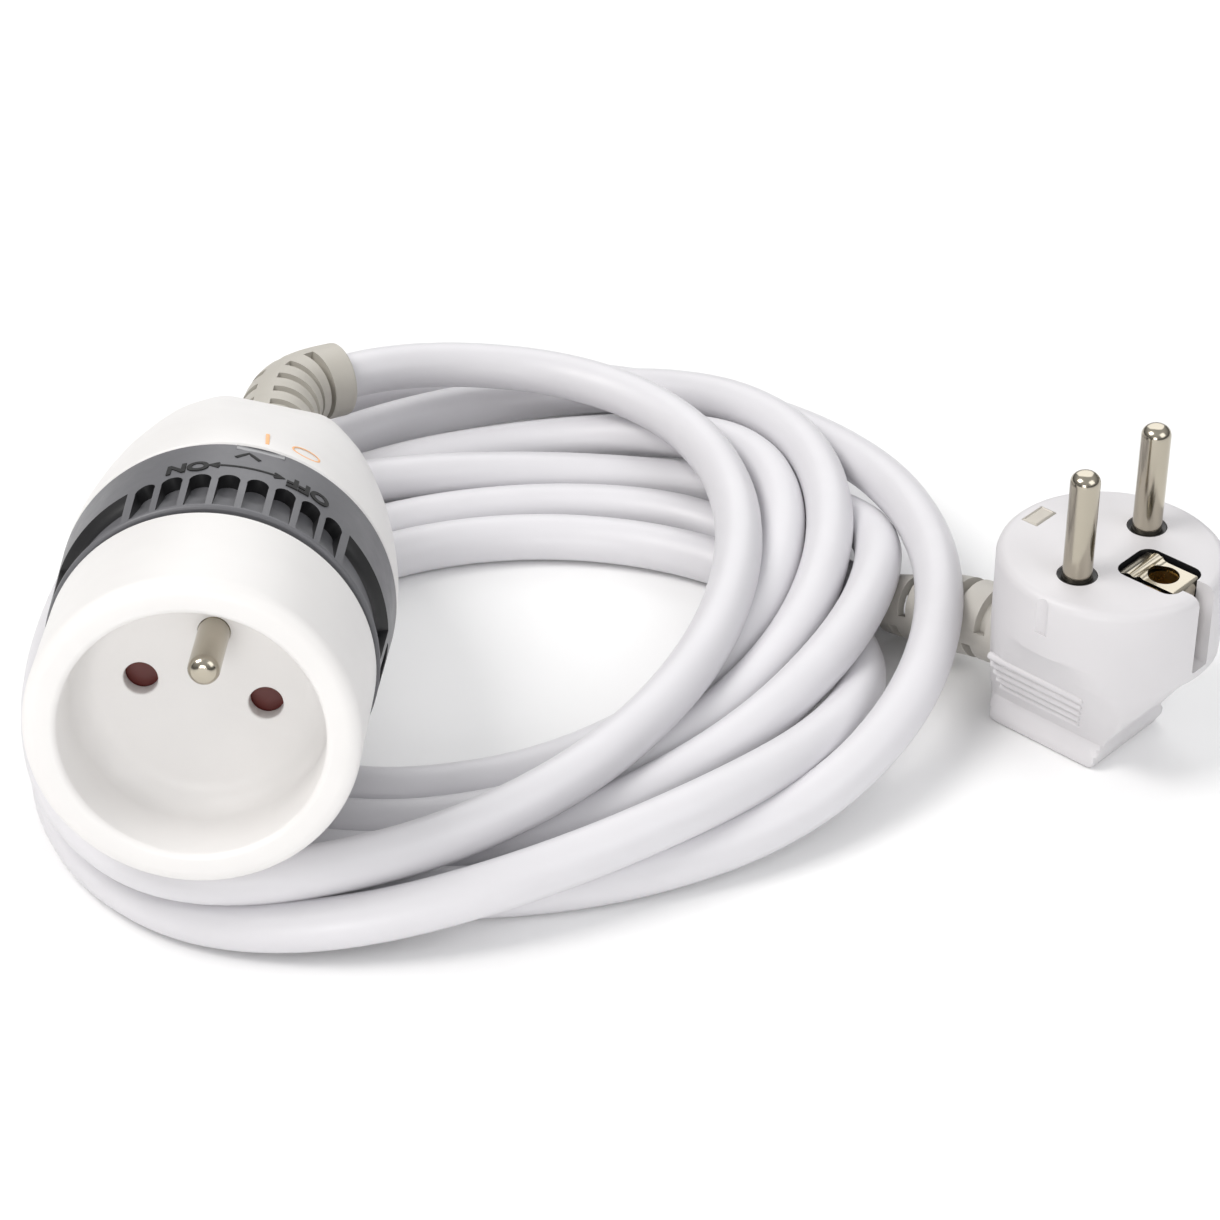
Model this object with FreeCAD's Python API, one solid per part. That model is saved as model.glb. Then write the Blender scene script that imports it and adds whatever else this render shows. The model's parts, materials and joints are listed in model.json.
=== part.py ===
import FreeCAD, Part
import math
import os

# Extension cord: a switched trailing socket, a loosely coiled cord and an angled plug.
# Millimetres. The origin is the centre of the socket's mouth, +Y runs back along the
# socket, +Z is up, and everything lies on a floor at FLOOR.

Vector = FreeCAD.Vector
Rotation = FreeCAD.Rotation
Placement = FreeCAD.Placement

# ---- where the three things lie
FLOOR = -42.2
HEAD_YAW = -1.0          # the socket points a little to its left
HEAD_TILT = -9.2         # its mouth is lifted by the cord under it
HEAD_ROLL = 11.9         # it has rolled clockwise, seen from the front
PLUG_TOP = (141.5, 58.5, -6.2)
PLUG_TURN = 47.5

# ---- socket head, measured back from the front face
CUP_R = 25.2
CUP_LENGTH = 24.0
CUP_EDGE = 2.2
RECESS_R = 19.75
RECESS_DEPTH = 15.0
RECESS_EDGE = 1.2
CUP_FLOOR = 2.5
CUP_CAVITY_R = 22.0
CONTACT_PITCH = 9.5
CONTACT_HOLE_R = 2.6
PIN_R = 2.4
EARTH_OFFSET = 10.0
EARTH_TIP = 1.0
EARTH_ROOT_R = 2.9
SEAL_R = 24.3
SEAL_THICK = 0.7
RING_START = 24.9
RING_END = 47.3
RING_FRONT_R = 25.6
RING_REAR_R = 26.6
RING_BORE_R = 23.0
RING_SPIGOT_R = 22.92
POCKETS = 8
POCKET_GROUPS = 3
POCKET_PITCH = 9.7
POCKET_WIDTH = 3.5
POCKET_START = 27.6
POCKET_END = 35.2
POCKET_DEPTH = 1.5
SCALLOP_SPAN = 38.0
SHELL_START = 47.5
SHELL_END = 98.0
SHELL_WALL = 2.2
# distance from the front face, half width, corner radius
SHELL_SECTIONS = [(47.5, 26.6, 26.5), (54.0, 26.3, 25.8), (66.0, 23.9, 21.0),
                  (80.0, 19.4, 13.5), (92.0, 14.9, 8.0), (98.0, 12.7, 6.0)]
MARK_R = 26.66
ON_ANGLE = 2.5
OFF_ANGLE = 16.5
TWIST = 14.0
GROUP_ANGLE = -0.9
WINDOW_ANGLE = 2.0
CARRIER_R = 16.0
ROTOR_BORE_R = 16.05
ROTOR_R = 22.95
KEY_HALF = 2.0
KEY_R = 23.9
DECK_R = 14.3
SHUTTER_HALF = 12.5
SHUTTER_TOP = 3.4
WIRE_R = 1.35

# ---- plug, measured down from its top face
PLUG_R = 18.5
PLUG_HEIGHT = 36.0
PIN_LENGTH = 19.0
INSERT_R = 3.25
# height under the top face, half width, front, rear, corner radius
PLUG_SECTIONS = [(0.0, 18.0, -18.0, 18.0, 17.6), (-1.2, 18.5, -18.5, 18.5, 18.1),
                 (-14.0, 18.4, -18.4, 18.4, 18.0), (-18.0, 17.5, -17.5, 17.5, 16.0),
                 (-31.0, 8.2, -7.0, 16.4, 4.0), (-33.0, 9.6, -7.0, 16.6, 4.0),
                 (-36.0, 8.6, -5.6, 16.2, 3.6)]

# ---- cord
CORD_R = 4.1
HEAD_BOOT = [(1.7, 94.0, -15.4), (1.9, 101.5, -16.6), (2.1, 109.0, -17.8), (2.2, 116.5, -19.0),
             (2.4, 124.0, -20.1), (3.6, 130.5, -21.1), (7.0, 135.6, -21.9), (12.0, 139.2, -22.5)]
HEAD_BOOT_R = (7.2, 6.6)
PLUG_BOOT_LENGTH = 26.0
PLUG_BOOT_R = (5.8, 4.8)
HEAD_LEAD = [(12.0, 139.2, -22.5), (21.0, 144.6, -23.2), (32.5, 149.2, -24.4), (44.0, 151.2, -25.6)]
PLUG_LEAD = [(109.5, 87.9, -36.7), (99.0, 97.4, -37.6), (87.0, 107.6, -38.1), (73.0, 115.0, -38.1)]
# the coil's outer and inner outlines, corner by corner, anticlockwise from above
COIL_OUTER = [(115.0, 72.0), (112.0, 38.0), (92.0, 18.0), (58.0, 5.0), (14.0, -1.5), (-18.0, 8.0),
              (-34.0, 38.0), (-32.5, 84.0), (-24.0, 128.0), (-4.0, 162.0), (34.0, 172.0),
              (72.0, 165.0), (102.0, 142.0), (116.0, 108.0)]
COIL_INNER = [(82.0, 74.0), (79.0, 52.0), (60.0, 40.0), (30.0, 36.0), (2.0, 41.0), (-2.0, 64.0),
              (8.0, 92.0), (28.0, 107.0), (54.0, 108.0), (76.0, 96.0)]
COIL_HEIGHT = 16.4
COIL_EDGE = 3.6


def save(shape, node):
    shape.exportStep("parts/" + node + ".step")
    print(node, "solids", len(shape.Solids), "volume", round(shape.Volume, 1))


def rodY(radius, start, end, x=0.0, z=0.0):
    return Part.makeCylinder(radius, end - start, Vector(x, start, z), Vector(0, 1, 0))


def rodZ(radius, low, high, x=0.0, y=0.0):
    return Part.makeCylinder(radius, high - low, Vector(x, y, low), Vector(0, 0, 1))


def block(lowX, highX, lowY, highY, lowZ, highZ):
    return Part.makeBox(highX - lowX, highY - lowY, highZ - lowZ, Vector(lowX, lowY, lowZ))


def turned(shape, angle, axis=(0, 1, 0)):
    copy = shape.copy()
    copy.rotate(Vector(0, 0, 0), Vector(*axis), angle)
    return copy


def fuseAll(shapes):
    return shapes[0].multiFuse(shapes[1:])


def edgesAt(shape, test):
    return [edge for edge in shape.Edges if test(edge)]


def roundWire(half, corner, low, high, place):
    """Rounded rectangle from -half to half and from low to high; place turns (a, b) into a point."""
    a0, a1, b0, b1 = -half, half, low, high
    k = corner * (1 - math.sqrt(0.5))
    lines = [((a0 + corner, b0), (a1 - corner, b0)), ((a1, b0 + corner), (a1, b1 - corner)),
             ((a1 - corner, b1), (a0 + corner, b1)), ((a0, b1 - corner), (a0, b0 + corner))]
    middles = [(a1 - k, b0 + k), (a1 - k, b1 - k), (a0 + k, b1 - k), (a0 + k, b0 + k)]
    edges = []
    for side in range(4):
        start, end = lines[side]
        following = lines[(side + 1) % 4][0]
        edges.append(Part.LineSegment(place(*start), place(*end)).toShape())
        edges.append(Part.Arc(place(*end), place(*middles[side]), place(*following)).toShape())
    return Part.Wire(edges)


def filletedPath(points, closed=False):
    """Straight runs joined by tangent arcs; returns the wire's edges and the arcs' radii."""
    count = len(points)
    corners = range(count) if closed else range(1, count - 1)
    cuts = {}
    radii = []
    edges = []
    for i in corners:
        before, here, after = points[i - 1], points[i], points[(i + 1) % count]
        into = (here - before).normalize()
        out = (after - here).normalize()
        turn = into.getAngle(out)
        reach = 0.45 * min((here - before).Length, (after - here).Length)
        radius = reach / math.tan(turn / 2)
        start = here - into * reach
        end = here + out * reach
        inward = (out - into).normalize()
        middle = here + inward * (radius / math.cos(turn / 2) - radius)
        cuts[i] = (start, middle, end)
        radii.append(radius)
    for i in range(count if closed else count - 1):
        j = (i + 1) % count
        start = cuts[i][2] if i in cuts else points[i]
        end = cuts[j][0] if j in cuts else points[j]
        edges.append(Part.LineSegment(start, end).toShape())
        if j in cuts:
            edges.append(Part.Arc(*cuts[j]).toShape())
    return edges, radii


def tube(points, radius, name):
    """Round tube along straight runs and tangent arcs."""
    spots = [Vector(*p) for p in points]
    edges, radii = filletedPath(spots)
    path = Part.Wire(edges)
    start = Part.Wire(Part.makeCircle(radius, spots[0], spots[1] - spots[0]))
    solid = path.makePipeShell([start], True, False)
    section = math.pi * radius ** 2
    print(name, "radii", [round(r) for r in radii], "volume / (section x length)",
          round(solid.Volume / (section * path.Length), 4))
    return solid


def taperedBoot(points, radii):
    """Loft through circles that shrink along a bent centre line."""
    spots = [Vector(*p) for p in points]
    last = len(spots) - 1
    wires = []
    for i, spot in enumerate(spots):
        ahead = spots[min(i + 1, last)] - spots[max(i - 1, 0)]
        radius = radii[0] + (radii[1] - radii[0]) * i / last
        wires.append(Part.Wire(Part.makeCircle(radius, spot, ahead)))
    return Part.makeLoft(wires, True, False)


def helixSpring(wire, coil, height, turns, base, axis):
    """Round-wire compression spring standing on base along axis."""
    pitch = height / turns
    path = Part.makeHelix(pitch, height, coil)
    profile = Part.Wire(Part.makeCircle(wire, Vector(coil, 0, 0), Vector(0, 1, 0)))
    spring = Part.Wire(path).makePipeShell([profile], True, True)
    spring.Placement = Placement(base, Rotation(Vector(0, 0, 1), axis))
    return spring


# ---------------------------------------------------------------- the socket head

def frontCup():
    cup = rodY(CUP_R, 0, CUP_LENGTH)
    cup = cup.cut(rodY(RECESS_R, -1, RECESS_DEPTH))
    cup = cup.cut(rodY(CUP_CAVITY_R, RECESS_DEPTH + CUP_FLOOR, CUP_LENGTH + 1))
    rim = edgesAt(cup, lambda e: e.BoundBox.YMax < 0.01 and e.BoundBox.XMax > CUP_R - 0.1)
    mouth = edgesAt(cup, lambda e: e.BoundBox.YMax < 0.01 and e.BoundBox.XMax < RECESS_R + 0.1)
    corner = edgesAt(cup, lambda e: abs(e.BoundBox.YMin - RECESS_DEPTH) < 0.01
                     and e.BoundBox.XMax > RECESS_R - 0.1)
    cup = cup.makeFillet(CUP_EDGE, rim)
    mouth = edgesAt(cup, lambda e: e.BoundBox.YMax < 0.01 and e.BoundBox.XMax < RECESS_R + 0.1)
    cup = cup.makeFillet(RECESS_EDGE, mouth)
    corner = edgesAt(cup, lambda e: abs(e.BoundBox.YMin - RECESS_DEPTH) < 0.01
                     and abs(e.BoundBox.YMax - RECESS_DEPTH) < 0.01
                     and e.BoundBox.XMax > RECESS_R - 0.1)
    cup = cup.makeFillet(2.0, corner)
    for side in (-1, 1):
        cup = cup.cut(rodY(CONTACT_HOLE_R, 10, 20, side * CONTACT_PITCH))
    return cup.cut(rodY(EARTH_ROOT_R, 10, 20, 0, EARTH_OFFSET))


def earthPin():
    shoulder = EARTH_TIP + PIN_R
    pin = rodY(PIN_R, shoulder, RECESS_DEPTH, 0, EARTH_OFFSET)
    dome = Part.makeSphere(PIN_R, Vector(0, shoulder, EARTH_OFFSET))
    dome = dome.common(block(-5, 5, -5, shoulder, 0, 20))
    root = rodY(EARTH_ROOT_R - 0.02, RECESS_DEPTH, 30, 0, EARTH_OFFSET)
    return fuseAll([pin, dome, root])


def safetyShutter():
    """Sliding plate behind the two holes, with a foot that stands on its spring."""
    plate = block(-SHUTTER_HALF, SHUTTER_HALF, 17.8, 19.1, -SHUTTER_TOP, SHUTTER_TOP)
    foot = block(-1.5, 1.5, 17.8, 20.6, -5.0, -SHUTTER_TOP)
    return plate.fuse(foot)


def shutterSpring():
    return helixSpring(0.25, 1.15, 10.8, 7, Vector(0, 19.2, -16.2), Vector(0, 0, 1))


def contactCarrier():
    """Insulating core: front flange in the cup, barrel for the rotor, rear flange, terminal deck."""
    flange = rodY(CUP_CAVITY_R - 0.1, 19.4, 23.4)
    barrel = rodY(CARRIER_R, 23.4, 36.0)
    rear = rodY(RING_SPIGOT_R - 0.3, 34.8, 39.0)
    deck = rodY(DECK_R, 39.0, 50.0)
    carrier = fuseAll([flange, barrel, rear, deck])
    for side in (-1, 1):
        carrier = carrier.cut(rodY(3.5, 19, 40, side * CONTACT_PITCH))
    carrier = carrier.cut(rodY(EARTH_ROOT_R + 0.05, 19, 40, 0, EARTH_OFFSET))
    carrier = carrier.cut(block(-1.9, 1.9, 19.3, 21.2, -16.5, -2.8))
    carrier = carrier.cut(rodY(1.45, 34, 38.4, 0, -19.4))
    for x in (-16.5, 16.5):
        carrier = carrier.cut(rodY(1.42, 35.9, 40.0, x, -6.4))
    return carrier


def contactTube(side):
    """Spring contact: a slit tube that grips a plug's pin."""
    x = side * CONTACT_PITCH
    sleeve = rodY(3.3, 20.0, 37.0, x).cut(rodY(2.46, 19.0, 34.0, x))
    return sleeve.cut(block(x - 0.3, x + 0.3, 19.0, 31.0, -4.0, 4.0))


def pocketCut(angle):
    """Arch-shaped finger pocket, open to the front and deepest at its round end."""
    half = POCKET_WIDTH / 2
    low = RING_REAR_R - POCKET_DEPTH - 0.7
    slot = block(-half, half, POCKET_START, POCKET_END, low + 0.5, 30)
    end = rodZ(half, low, 30, 0, POCKET_END)
    return turned(slot.fuse(end), angle)


def scallopCut(angle):
    """Long thumb hollow with round ends."""
    low = RING_REAR_R - POCKET_DEPTH - 0.5
    section = Part.Face(Part.makePolygon([Vector(0, POCKET_START, low), Vector(0, 36.6, low),
                                          Vector(0, 38.2, 30), Vector(0, POCKET_START, 30),
                                          Vector(0, POCKET_START, low)]))
    section.rotate(Vector(0, 0, 0), Vector(0, 1, 0), angle - SCALLOP_SPAN / 2)
    return section.revolve(Vector(0, 0, 0), Vector(0, 1, 0), SCALLOP_SPAN)


def windowShape(grow):
    """Small curved bar at the ring's rear edge."""
    ring = rodY(RING_REAR_R - 0.12, 45.3, 46.8).cut(rodY(RING_REAR_R - 1.0 - grow, 45, 47))
    wedge = block(-3.8, 3.8, 45, 47, 20, 30)
    return turned(ring.common(wedge), WINDOW_ANGLE)


def switchRing():
    outer = Part.makeCone(RING_FRONT_R, RING_REAR_R, RING_END - RING_START,
                          Vector(0, RING_START, 0), Vector(0, 1, 0))
    ends = edgesAt(outer, lambda e: e.BoundBox.XMax > RING_FRONT_R - 0.1
                   and e.BoundBox.YMax - e.BoundBox.YMin < 0.01)
    outer = outer.makeFillet(0.5, ends)
    ring = outer.cut(rodY(RING_BORE_R, RING_START - 1, RING_END + 1))
    cuts = []
    for group in range(POCKET_GROUPS):
        middle = 360.0 * group / POCKET_GROUPS + GROUP_ANGLE
        for i in range(POCKETS):
            cuts.append(pocketCut(middle + (i - (POCKETS - 1) / 2) * POCKET_PITCH))
        cuts.append(scallopCut(middle + 180.0 / POCKET_GROUPS))
    slot = block(-KEY_HALF - 0.05, KEY_HALF + 0.05, 25.5, 33.0, 20.0, KEY_R + 0.1)
    cuts += [turned(slot, 60 + 120 * i + GROUP_ANGLE) for i in range(3)]
    for cut in cuts:
        ring = ring.cut(cut)
    return ring.cut(windowShape(0.0))


def contactRotor():
    """Cam that three keys tie to the outer ring, with two dimples for the detent ball."""
    key = block(-KEY_HALF, KEY_HALF, 26.5, 32.0, 20.0, KEY_R)
    rotor = fuseAll([rodY(ROTOR_R, 26.0, 32.5)] + [turned(key, 60 + 120 * i + GROUP_ANGLE) for i in range(3)])
    rotor = rotor.cut(rodY(ROTOR_BORE_R, 25.0, 33.0))
    for angle in (0, -TWIST):
        dimple = Part.makeSphere(1.7, Vector(0, 33.4, -19.4))
        rotor = rotor.cut(turned(dimple, angle))
    return rotor


def arcBar(inner, outer, start, end, middle, span):
    """Flat curved bar about the socket's axis."""
    section = Part.Face(Part.makePolygon([Vector(0, start, inner), Vector(0, end, inner),
                                          Vector(0, end, outer), Vector(0, start, outer),
                                          Vector(0, start, inner)]))
    section.rotate(Vector(0, 0, 0), Vector(0, 1, 0), middle - span / 2)
    return section.revolve(Vector(0, 0, 0), Vector(0, 1, 0), span)


def bridgeContacts():
    return Part.makeCompound([arcBar(17.6, 20.6, 32.5, 33.6, angle, 46) for angle in (90, 270)])


def fixedContacts():
    pads = []
    for angle in (90, 270):
        for offset in (-15, 15):
            pads.append(arcBar(17.8, 20.4, 33.8, 34.8, angle + offset, 10))
    return Part.makeCompound(pads)


def shellSolid(shrink, startExtra, endExtra):
    wires = []
    for i, (distance, half, corner) in enumerate(SHELL_SECTIONS):
        if i == 0:
            distance -= startExtra
        if i == len(SHELL_SECTIONS) - 1:
            distance += endExtra
        half = half - shrink
        corner = max(corner - shrink, 1.0)
        wires.append(roundWire(half, corner, -half, half, lambda a, b, d=distance: Vector(a, d, b)))
    return Part.makeLoft(wires, True, False)


def positionMarks():
    """Flush bar and ring behind the switch ring, for its two positions."""
    bar = block(-0.8, 0.8, 49.3, 52.7, 20, 30).cut(block(-0.35, 0.35, 49.8, 52.2, 19, 31))
    ring = rodZ(1.7, 20, 30, 0, 51.0).cut(rodZ(1.2, 19, 31, 0, 51.0))
    band = rodY(MARK_R, 49.0, 53.0).cut(rodY(MARK_R - 0.6, 48.0, 54.0))
    return Part.makeCompound([band.common(turned(bar, ON_ANGLE)), band.common(turned(ring, OFF_ANGLE))])


def rearShell():
    """Hollow cover that draws in from the ring to a small rounded square, with a front spigot."""
    outer = shellSolid(0.0, 0.0, 0.0)
    inner = shellSolid(SHELL_WALL, 0.5, -SHELL_WALL - 0.6)
    shell = outer.cut(inner)
    spigot = rodY(RING_SPIGOT_R, 39.1, 49.5).fuse(rodY(24.8, 47.5, 49.5))
    spigot = spigot.cut(rodY(RING_SPIGOT_R - 2.0, 41.2, 50.0)).cut(rodY(DECK_R + 0.1, 38.0, 42.0))
    for x in (-16.5, 16.5):
        spigot = spigot.cut(rodY(1.5, 38.0, 42.0, x, -6.4))
    shell = shell.fuse(spigot).cut(positionMarks())
    return shell.cut(rodY(HEAD_BOOT_R[0] + 0.2, 90.0, 100.0))


def terminalBlocks():
    block0 = block(-3.2, 3.2, 50.0, 60.0, 7.4, 13.8)
    block0 = block0.cut(rodY(1.5, 52.0, 61.0, 0, 10.4))
    block0 = block0.cut(rodZ(1.3, 11.0, 15.0, 0, 55.0))
    return Part.makeCompound([turned(block0, 120 * i) for i in range(3)])


def terminalScrews():
    screw = rodZ(1.28, 12.0, 14.5, 0, 55.0).fuse(rodZ(2.0, 14.5, 15.9, 0, 55.0))
    screw = screw.cut(block(-2.5, 2.5, 54.7, 55.3, 15.2, 17.0))
    return Part.makeCompound([turned(screw, 120 * i) for i in range(3)])


def cordClamp():
    bar = block(-9.0, 9.0, 78.5, 83.5, 4.3, 6.8)
    return bar.cut(rodZ(1.5, 4.0, 8.0, -6.8, 81.0)).cut(rodZ(1.5, 4.0, 8.0, 6.8, 81.0))


def clampScrews():
    screws = []
    for x in (-6.8, 6.8):
        screw = rodZ(1.45, -4.0, 6.8, x, 81.0).fuse(rodZ(2.4, 6.8, 8.4, x, 81.0))
        screws.append(screw.cut(block(x - 3.0, x + 3.0, 80.7, 81.3, 7.7, 9.0)))
    return Part.makeCompound(screws)


def housingScrews():
    screws = []
    for x in (-16.5, 16.5):
        shank = rodY(1.4, 36.0, 41.2, x, -6.4)
        screws.append(shank.fuse(rodY(2.4, 41.2, 43.0, x, -6.4)))
    return Part.makeCompound(screws)


def innerCord():
    """End of the cord's sheath inside the socket, under the clamp."""
    return rodY(CORD_R, 76.0, 94.9)


def headWire(angle, name):
    """One core, from the sheath's end out to its terminal."""
    spots = []
    for distance, radius in ((75.6, 1.9), (72.0, 2.6), (66.0, 8.4), (60.2, 10.4)):
        spots.append((radius * math.sin(math.radians(angle)), distance,
                      radius * math.cos(math.radians(angle))))
    return tube(spots, WIRE_R, name)


# ---------------------------------------------------------------- the plug

def plugSolid():
    wires = []
    for height, half, front, rear, corner in PLUG_SECTIONS:
        wires.append(roundWire(half, corner, front, rear, lambda a, b, h=height: Vector(a, b, h)))
    return Part.makeLoft(wires, True, True)


def plugBody():
    body = plugSolid()
    # guide notches at both ends of the pin line
    for side in (-1, 1):
        body = body.cut(rodZ(2.6, -9.0, 1.0, side * (PLUG_R + 1.0), 0))
    # slot and side groove for the earth strip
    body = body.cut(block(-4.2, 4.2, -14.3, -3.6, -13.0, 1.0))
    body = body.cut(block(-2.5, 2.5, -20.0, -14.2, -14.5, 1.0))
    # seat of the small contact on the cord's side
    body = body.cut(block(-2.8, 2.8, 13.0, 16.2, -6.0, 1.0))
    # room for the pin bridge, crimps and cores
    body = body.cut(block(-13.2, 13.2, -3.5, 8.5, -23.5, -1.2))
    for side in (-1, 1):
        body = body.cut(rodZ(INSERT_R, -2.0, 1.0, side * CONTACT_PITCH, 0))
    body = body.cut(Part.makeCylinder(CORD_R + 0.1, 20.0, Vector(0, 8.0, -24.0), Vector(0, 1, 0)))
    return body


def pinBridge():
    """Hard insulating bar that holds both pins; its two collars show round them."""
    bridge = block(-13.0, 13.0, -3.3, 4.5, -6.5, -1.3)
    for side in (-1, 1):
        bridge = bridge.fuse(rodZ(INSERT_R - 0.02, -1.4, 0.0, side * CONTACT_PITCH, 0))
    for side in (-1, 1):
        bridge = bridge.cut(rodZ(PIN_R + 0.5, -7.0, 1.0, side * CONTACT_PITCH, 0))
    return bridge


def plugPin(side):
    x = side * CONTACT_PITCH
    shank = rodZ(PIN_R, 0.0, PIN_LENGTH - PIN_R, x)
    dome = Part.makeSphere(PIN_R, Vector(x, 0, PIN_LENGTH - PIN_R))
    dome = dome.common(block(x - 5, x + 5, -5, 5, PIN_LENGTH - PIN_R, PIN_LENGTH + 5))
    root = rodZ(PIN_R + 0.48, -9.5, 0.0, x)
    return fuseAll([shank, dome, root])


def earthSocketTube():
    return rodZ(3.4, -12.8, -1.2, 0, -10.0).cut(rodZ(2.5, -12.0, 0.0, 0, -10.0))


def earthStrip():
    """Nickel strip over the earth tube, bent down into the side groove."""
    top = block(-3.3, 3.3, -14.2, -4.0, -1.1, -0.4).cut(rodZ(2.55, -2.0, 1.0, 0, -10.0))
    side = block(-2.1, 2.1, -14.9, -14.2, -14.0, -0.4)
    return top.fuse(side)


def earthClip():
    return block(-2.7, 2.7, 13.1, 16.1, -5.0, 0.15)


def crimps():
    return Part.makeCompound([rodZ(PIN_R, -14.5, -9.5, side * CONTACT_PITCH, 0)
                              for side in (-1, 1)])


def plugWire(x, y, name):
    """One core, from the sheath's end to its crimp or the earth tube."""
    side = math.copysign(1.0, x)
    spots = [(side * 1.7, 7.6, -21.0), (x * 0.5, 6.0, -19.8), (x, y, -15.6)]
    return tube(spots, 1.2, name)


def plugBoot():
    """Strain relief that leaves the plug level and droops to the floor's height."""
    drop = [0.0, -0.4, -1.2, -2.4, -3.8, -5.2, -6.4]
    step = PLUG_BOOT_LENGTH / (len(drop) - 1)
    spots = [(0.0, 17.3 + i * step, -24.0 + fall) for i, fall in enumerate(drop)]
    return taperedBoot(spots, PLUG_BOOT_R)


# ---------------------------------------------------------------- the coil

def outlineFace(points, height):
    edges, radii = filletedPath([Vector(x, y, height) for x, y in points], closed=True)
    return Part.Face(Part.Wire(edges))


def cordCoil(headPlace, plugPlace):
    """Outer shape of the coil: a flat ring with rounded edges, hollowed where the socket lies."""
    up = Vector(0, 0, COIL_HEIGHT)
    outer = outlineFace(COIL_OUTER, FLOOR).extrude(up)
    flat = [e for e in outer.Edges if abs(e.BoundBox.ZMax - e.BoundBox.ZMin) < 0.01]
    outer = outer.makeFillet(COIL_EDGE, flat)
    coil = outer.cut(outlineFace(COIL_INNER, FLOOR - 1).extrude(up + Vector(0, 0, 2)))
    hollow = rodY(CUP_R + 0.6, -8.0, RING_START).fuse(rodY(RING_REAR_R + 0.6, RING_START - 0.5, 60.0))
    tail = Part.makeCone(RING_REAR_R + 0.6, 19.5, 42.0, Vector(0, 58.0, 0), Vector(0, 1, 0))
    for piece in (hollow, tail):
        piece.Placement = headPlace
        coil = coil.cut(piece)
    coil = coil.cut(taperedBoot(HEAD_BOOT, [radius + 0.4 for radius in HEAD_BOOT_R]))
    tunnel = Part.makeBox(13.0, 28.0, 18.5, Vector(-6.5, 18.0, -36.0))
    tunnel.Placement = plugPlace
    return coil.cut(tunnel)


def largestSolid(shape):
    return max(shape.Solids, key=lambda s: s.Volume)


def main():
    os.makedirs("parts", exist_ok=True)
    headTurn = (Rotation(Vector(0, 0, 1), HEAD_YAW) * Rotation(Vector(1, 0, 0), HEAD_TILT)
                * Rotation(Vector(0, 1, 0), HEAD_ROLL))
    headPlace = Placement(Vector(0, 0, 0), headTurn)
    plugPlace = Placement(Vector(*PLUG_TOP), Rotation(Vector(0, 0, 1), PLUG_TURN))
    head = {
        "front_cup": frontCup(),
        "earth_pin": earthPin(),
        "safety_shutter": safetyShutter(),
        "shutter_spring": shutterSpring(),
        "contact_carrier": contactCarrier(),
        "live_contact": contactTube(-1),
        "neutral_contact": contactTube(1),
        "ring_seal": rodY(SEAL_R, CUP_LENGTH, CUP_LENGTH + SEAL_THICK).cut(rodY(22.2, 23.0, 26.0)),
        "switch_ring": switchRing(),
        "pointer_window": windowShape(-0.02),
        "contact_rotor": contactRotor(),
        "bridge_contacts": bridgeContacts(),
        "fixed_contacts": fixedContacts(),
        "detent_ball": Part.makeSphere(1.3, Vector(0, 34.2, -19.4)),
        "detent_spring": helixSpring(0.2, 1.0, 2.4, 3, Vector(0, 35.7, -19.4), Vector(0, 1, 0)),
        "rear_shell": rearShell(),
        "position_marks": positionMarks(),
        "terminal_blocks": terminalBlocks(),
        "terminal_screws": terminalScrews(),
        "cord_clamp": cordClamp(),
        "clamp_screws": clampScrews(),
        "housing_screws": housingScrews(),
        "cord_end_in_head": innerCord(),
        "head_wire_earth": headWire(0, "head_wire_earth"),
        "head_wire_live": headWire(120, "head_wire_live"),
        "head_wire_neutral": headWire(240, "head_wire_neutral"),
    }
    plug = {
        "plug_body": plugBody(),
        "pin_bridge": pinBridge(),
        "plug_pin_live": plugPin(-1),
        "plug_pin_neutral": plugPin(1),
        "earth_socket_tube": earthSocketTube(),
        "earth_strip": earthStrip(),
        "earth_clip": earthClip(),
        "cord_end_in_plug": rodY(CORD_R, 8.6, 17.3, 0, -24.0),
        "pin_crimps": crimps(),
        "plug_wire_live": plugWire(-9.5, 1.5, "plug_wire_live"),
        "plug_wire_neutral": plugWire(9.5, 1.5, "plug_wire_neutral"),
        "plug_strain_relief": plugBoot(),
    }
    for place, group in ((headPlace, head), (plugPlace, plug)):
        for node, shape in group.items():
            shape.Placement = place.multiply(shape.Placement)
            save(shape, node)
    save(taperedBoot(HEAD_BOOT, HEAD_BOOT_R), "head_strain_relief")
    save(tube(HEAD_LEAD, CORD_R, "cord_lead_head"), "cord_lead_head")
    save(tube(PLUG_LEAD, CORD_R, "cord_lead_plug"), "cord_lead_plug")
    save(largestSolid(cordCoil(headPlace, plugPlace)), "cord_coil")
    bootEnd = plugPlace.multVec(Vector(0.0, 17.3 + PLUG_BOOT_LENGTH, -30.4))
    print("plug boot ends at", [round(c, 1) for c in bootEnd])


main()
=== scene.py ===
import json
import math
import bpy
import numpy as np
from mathutils import Matrix, Vector

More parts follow.
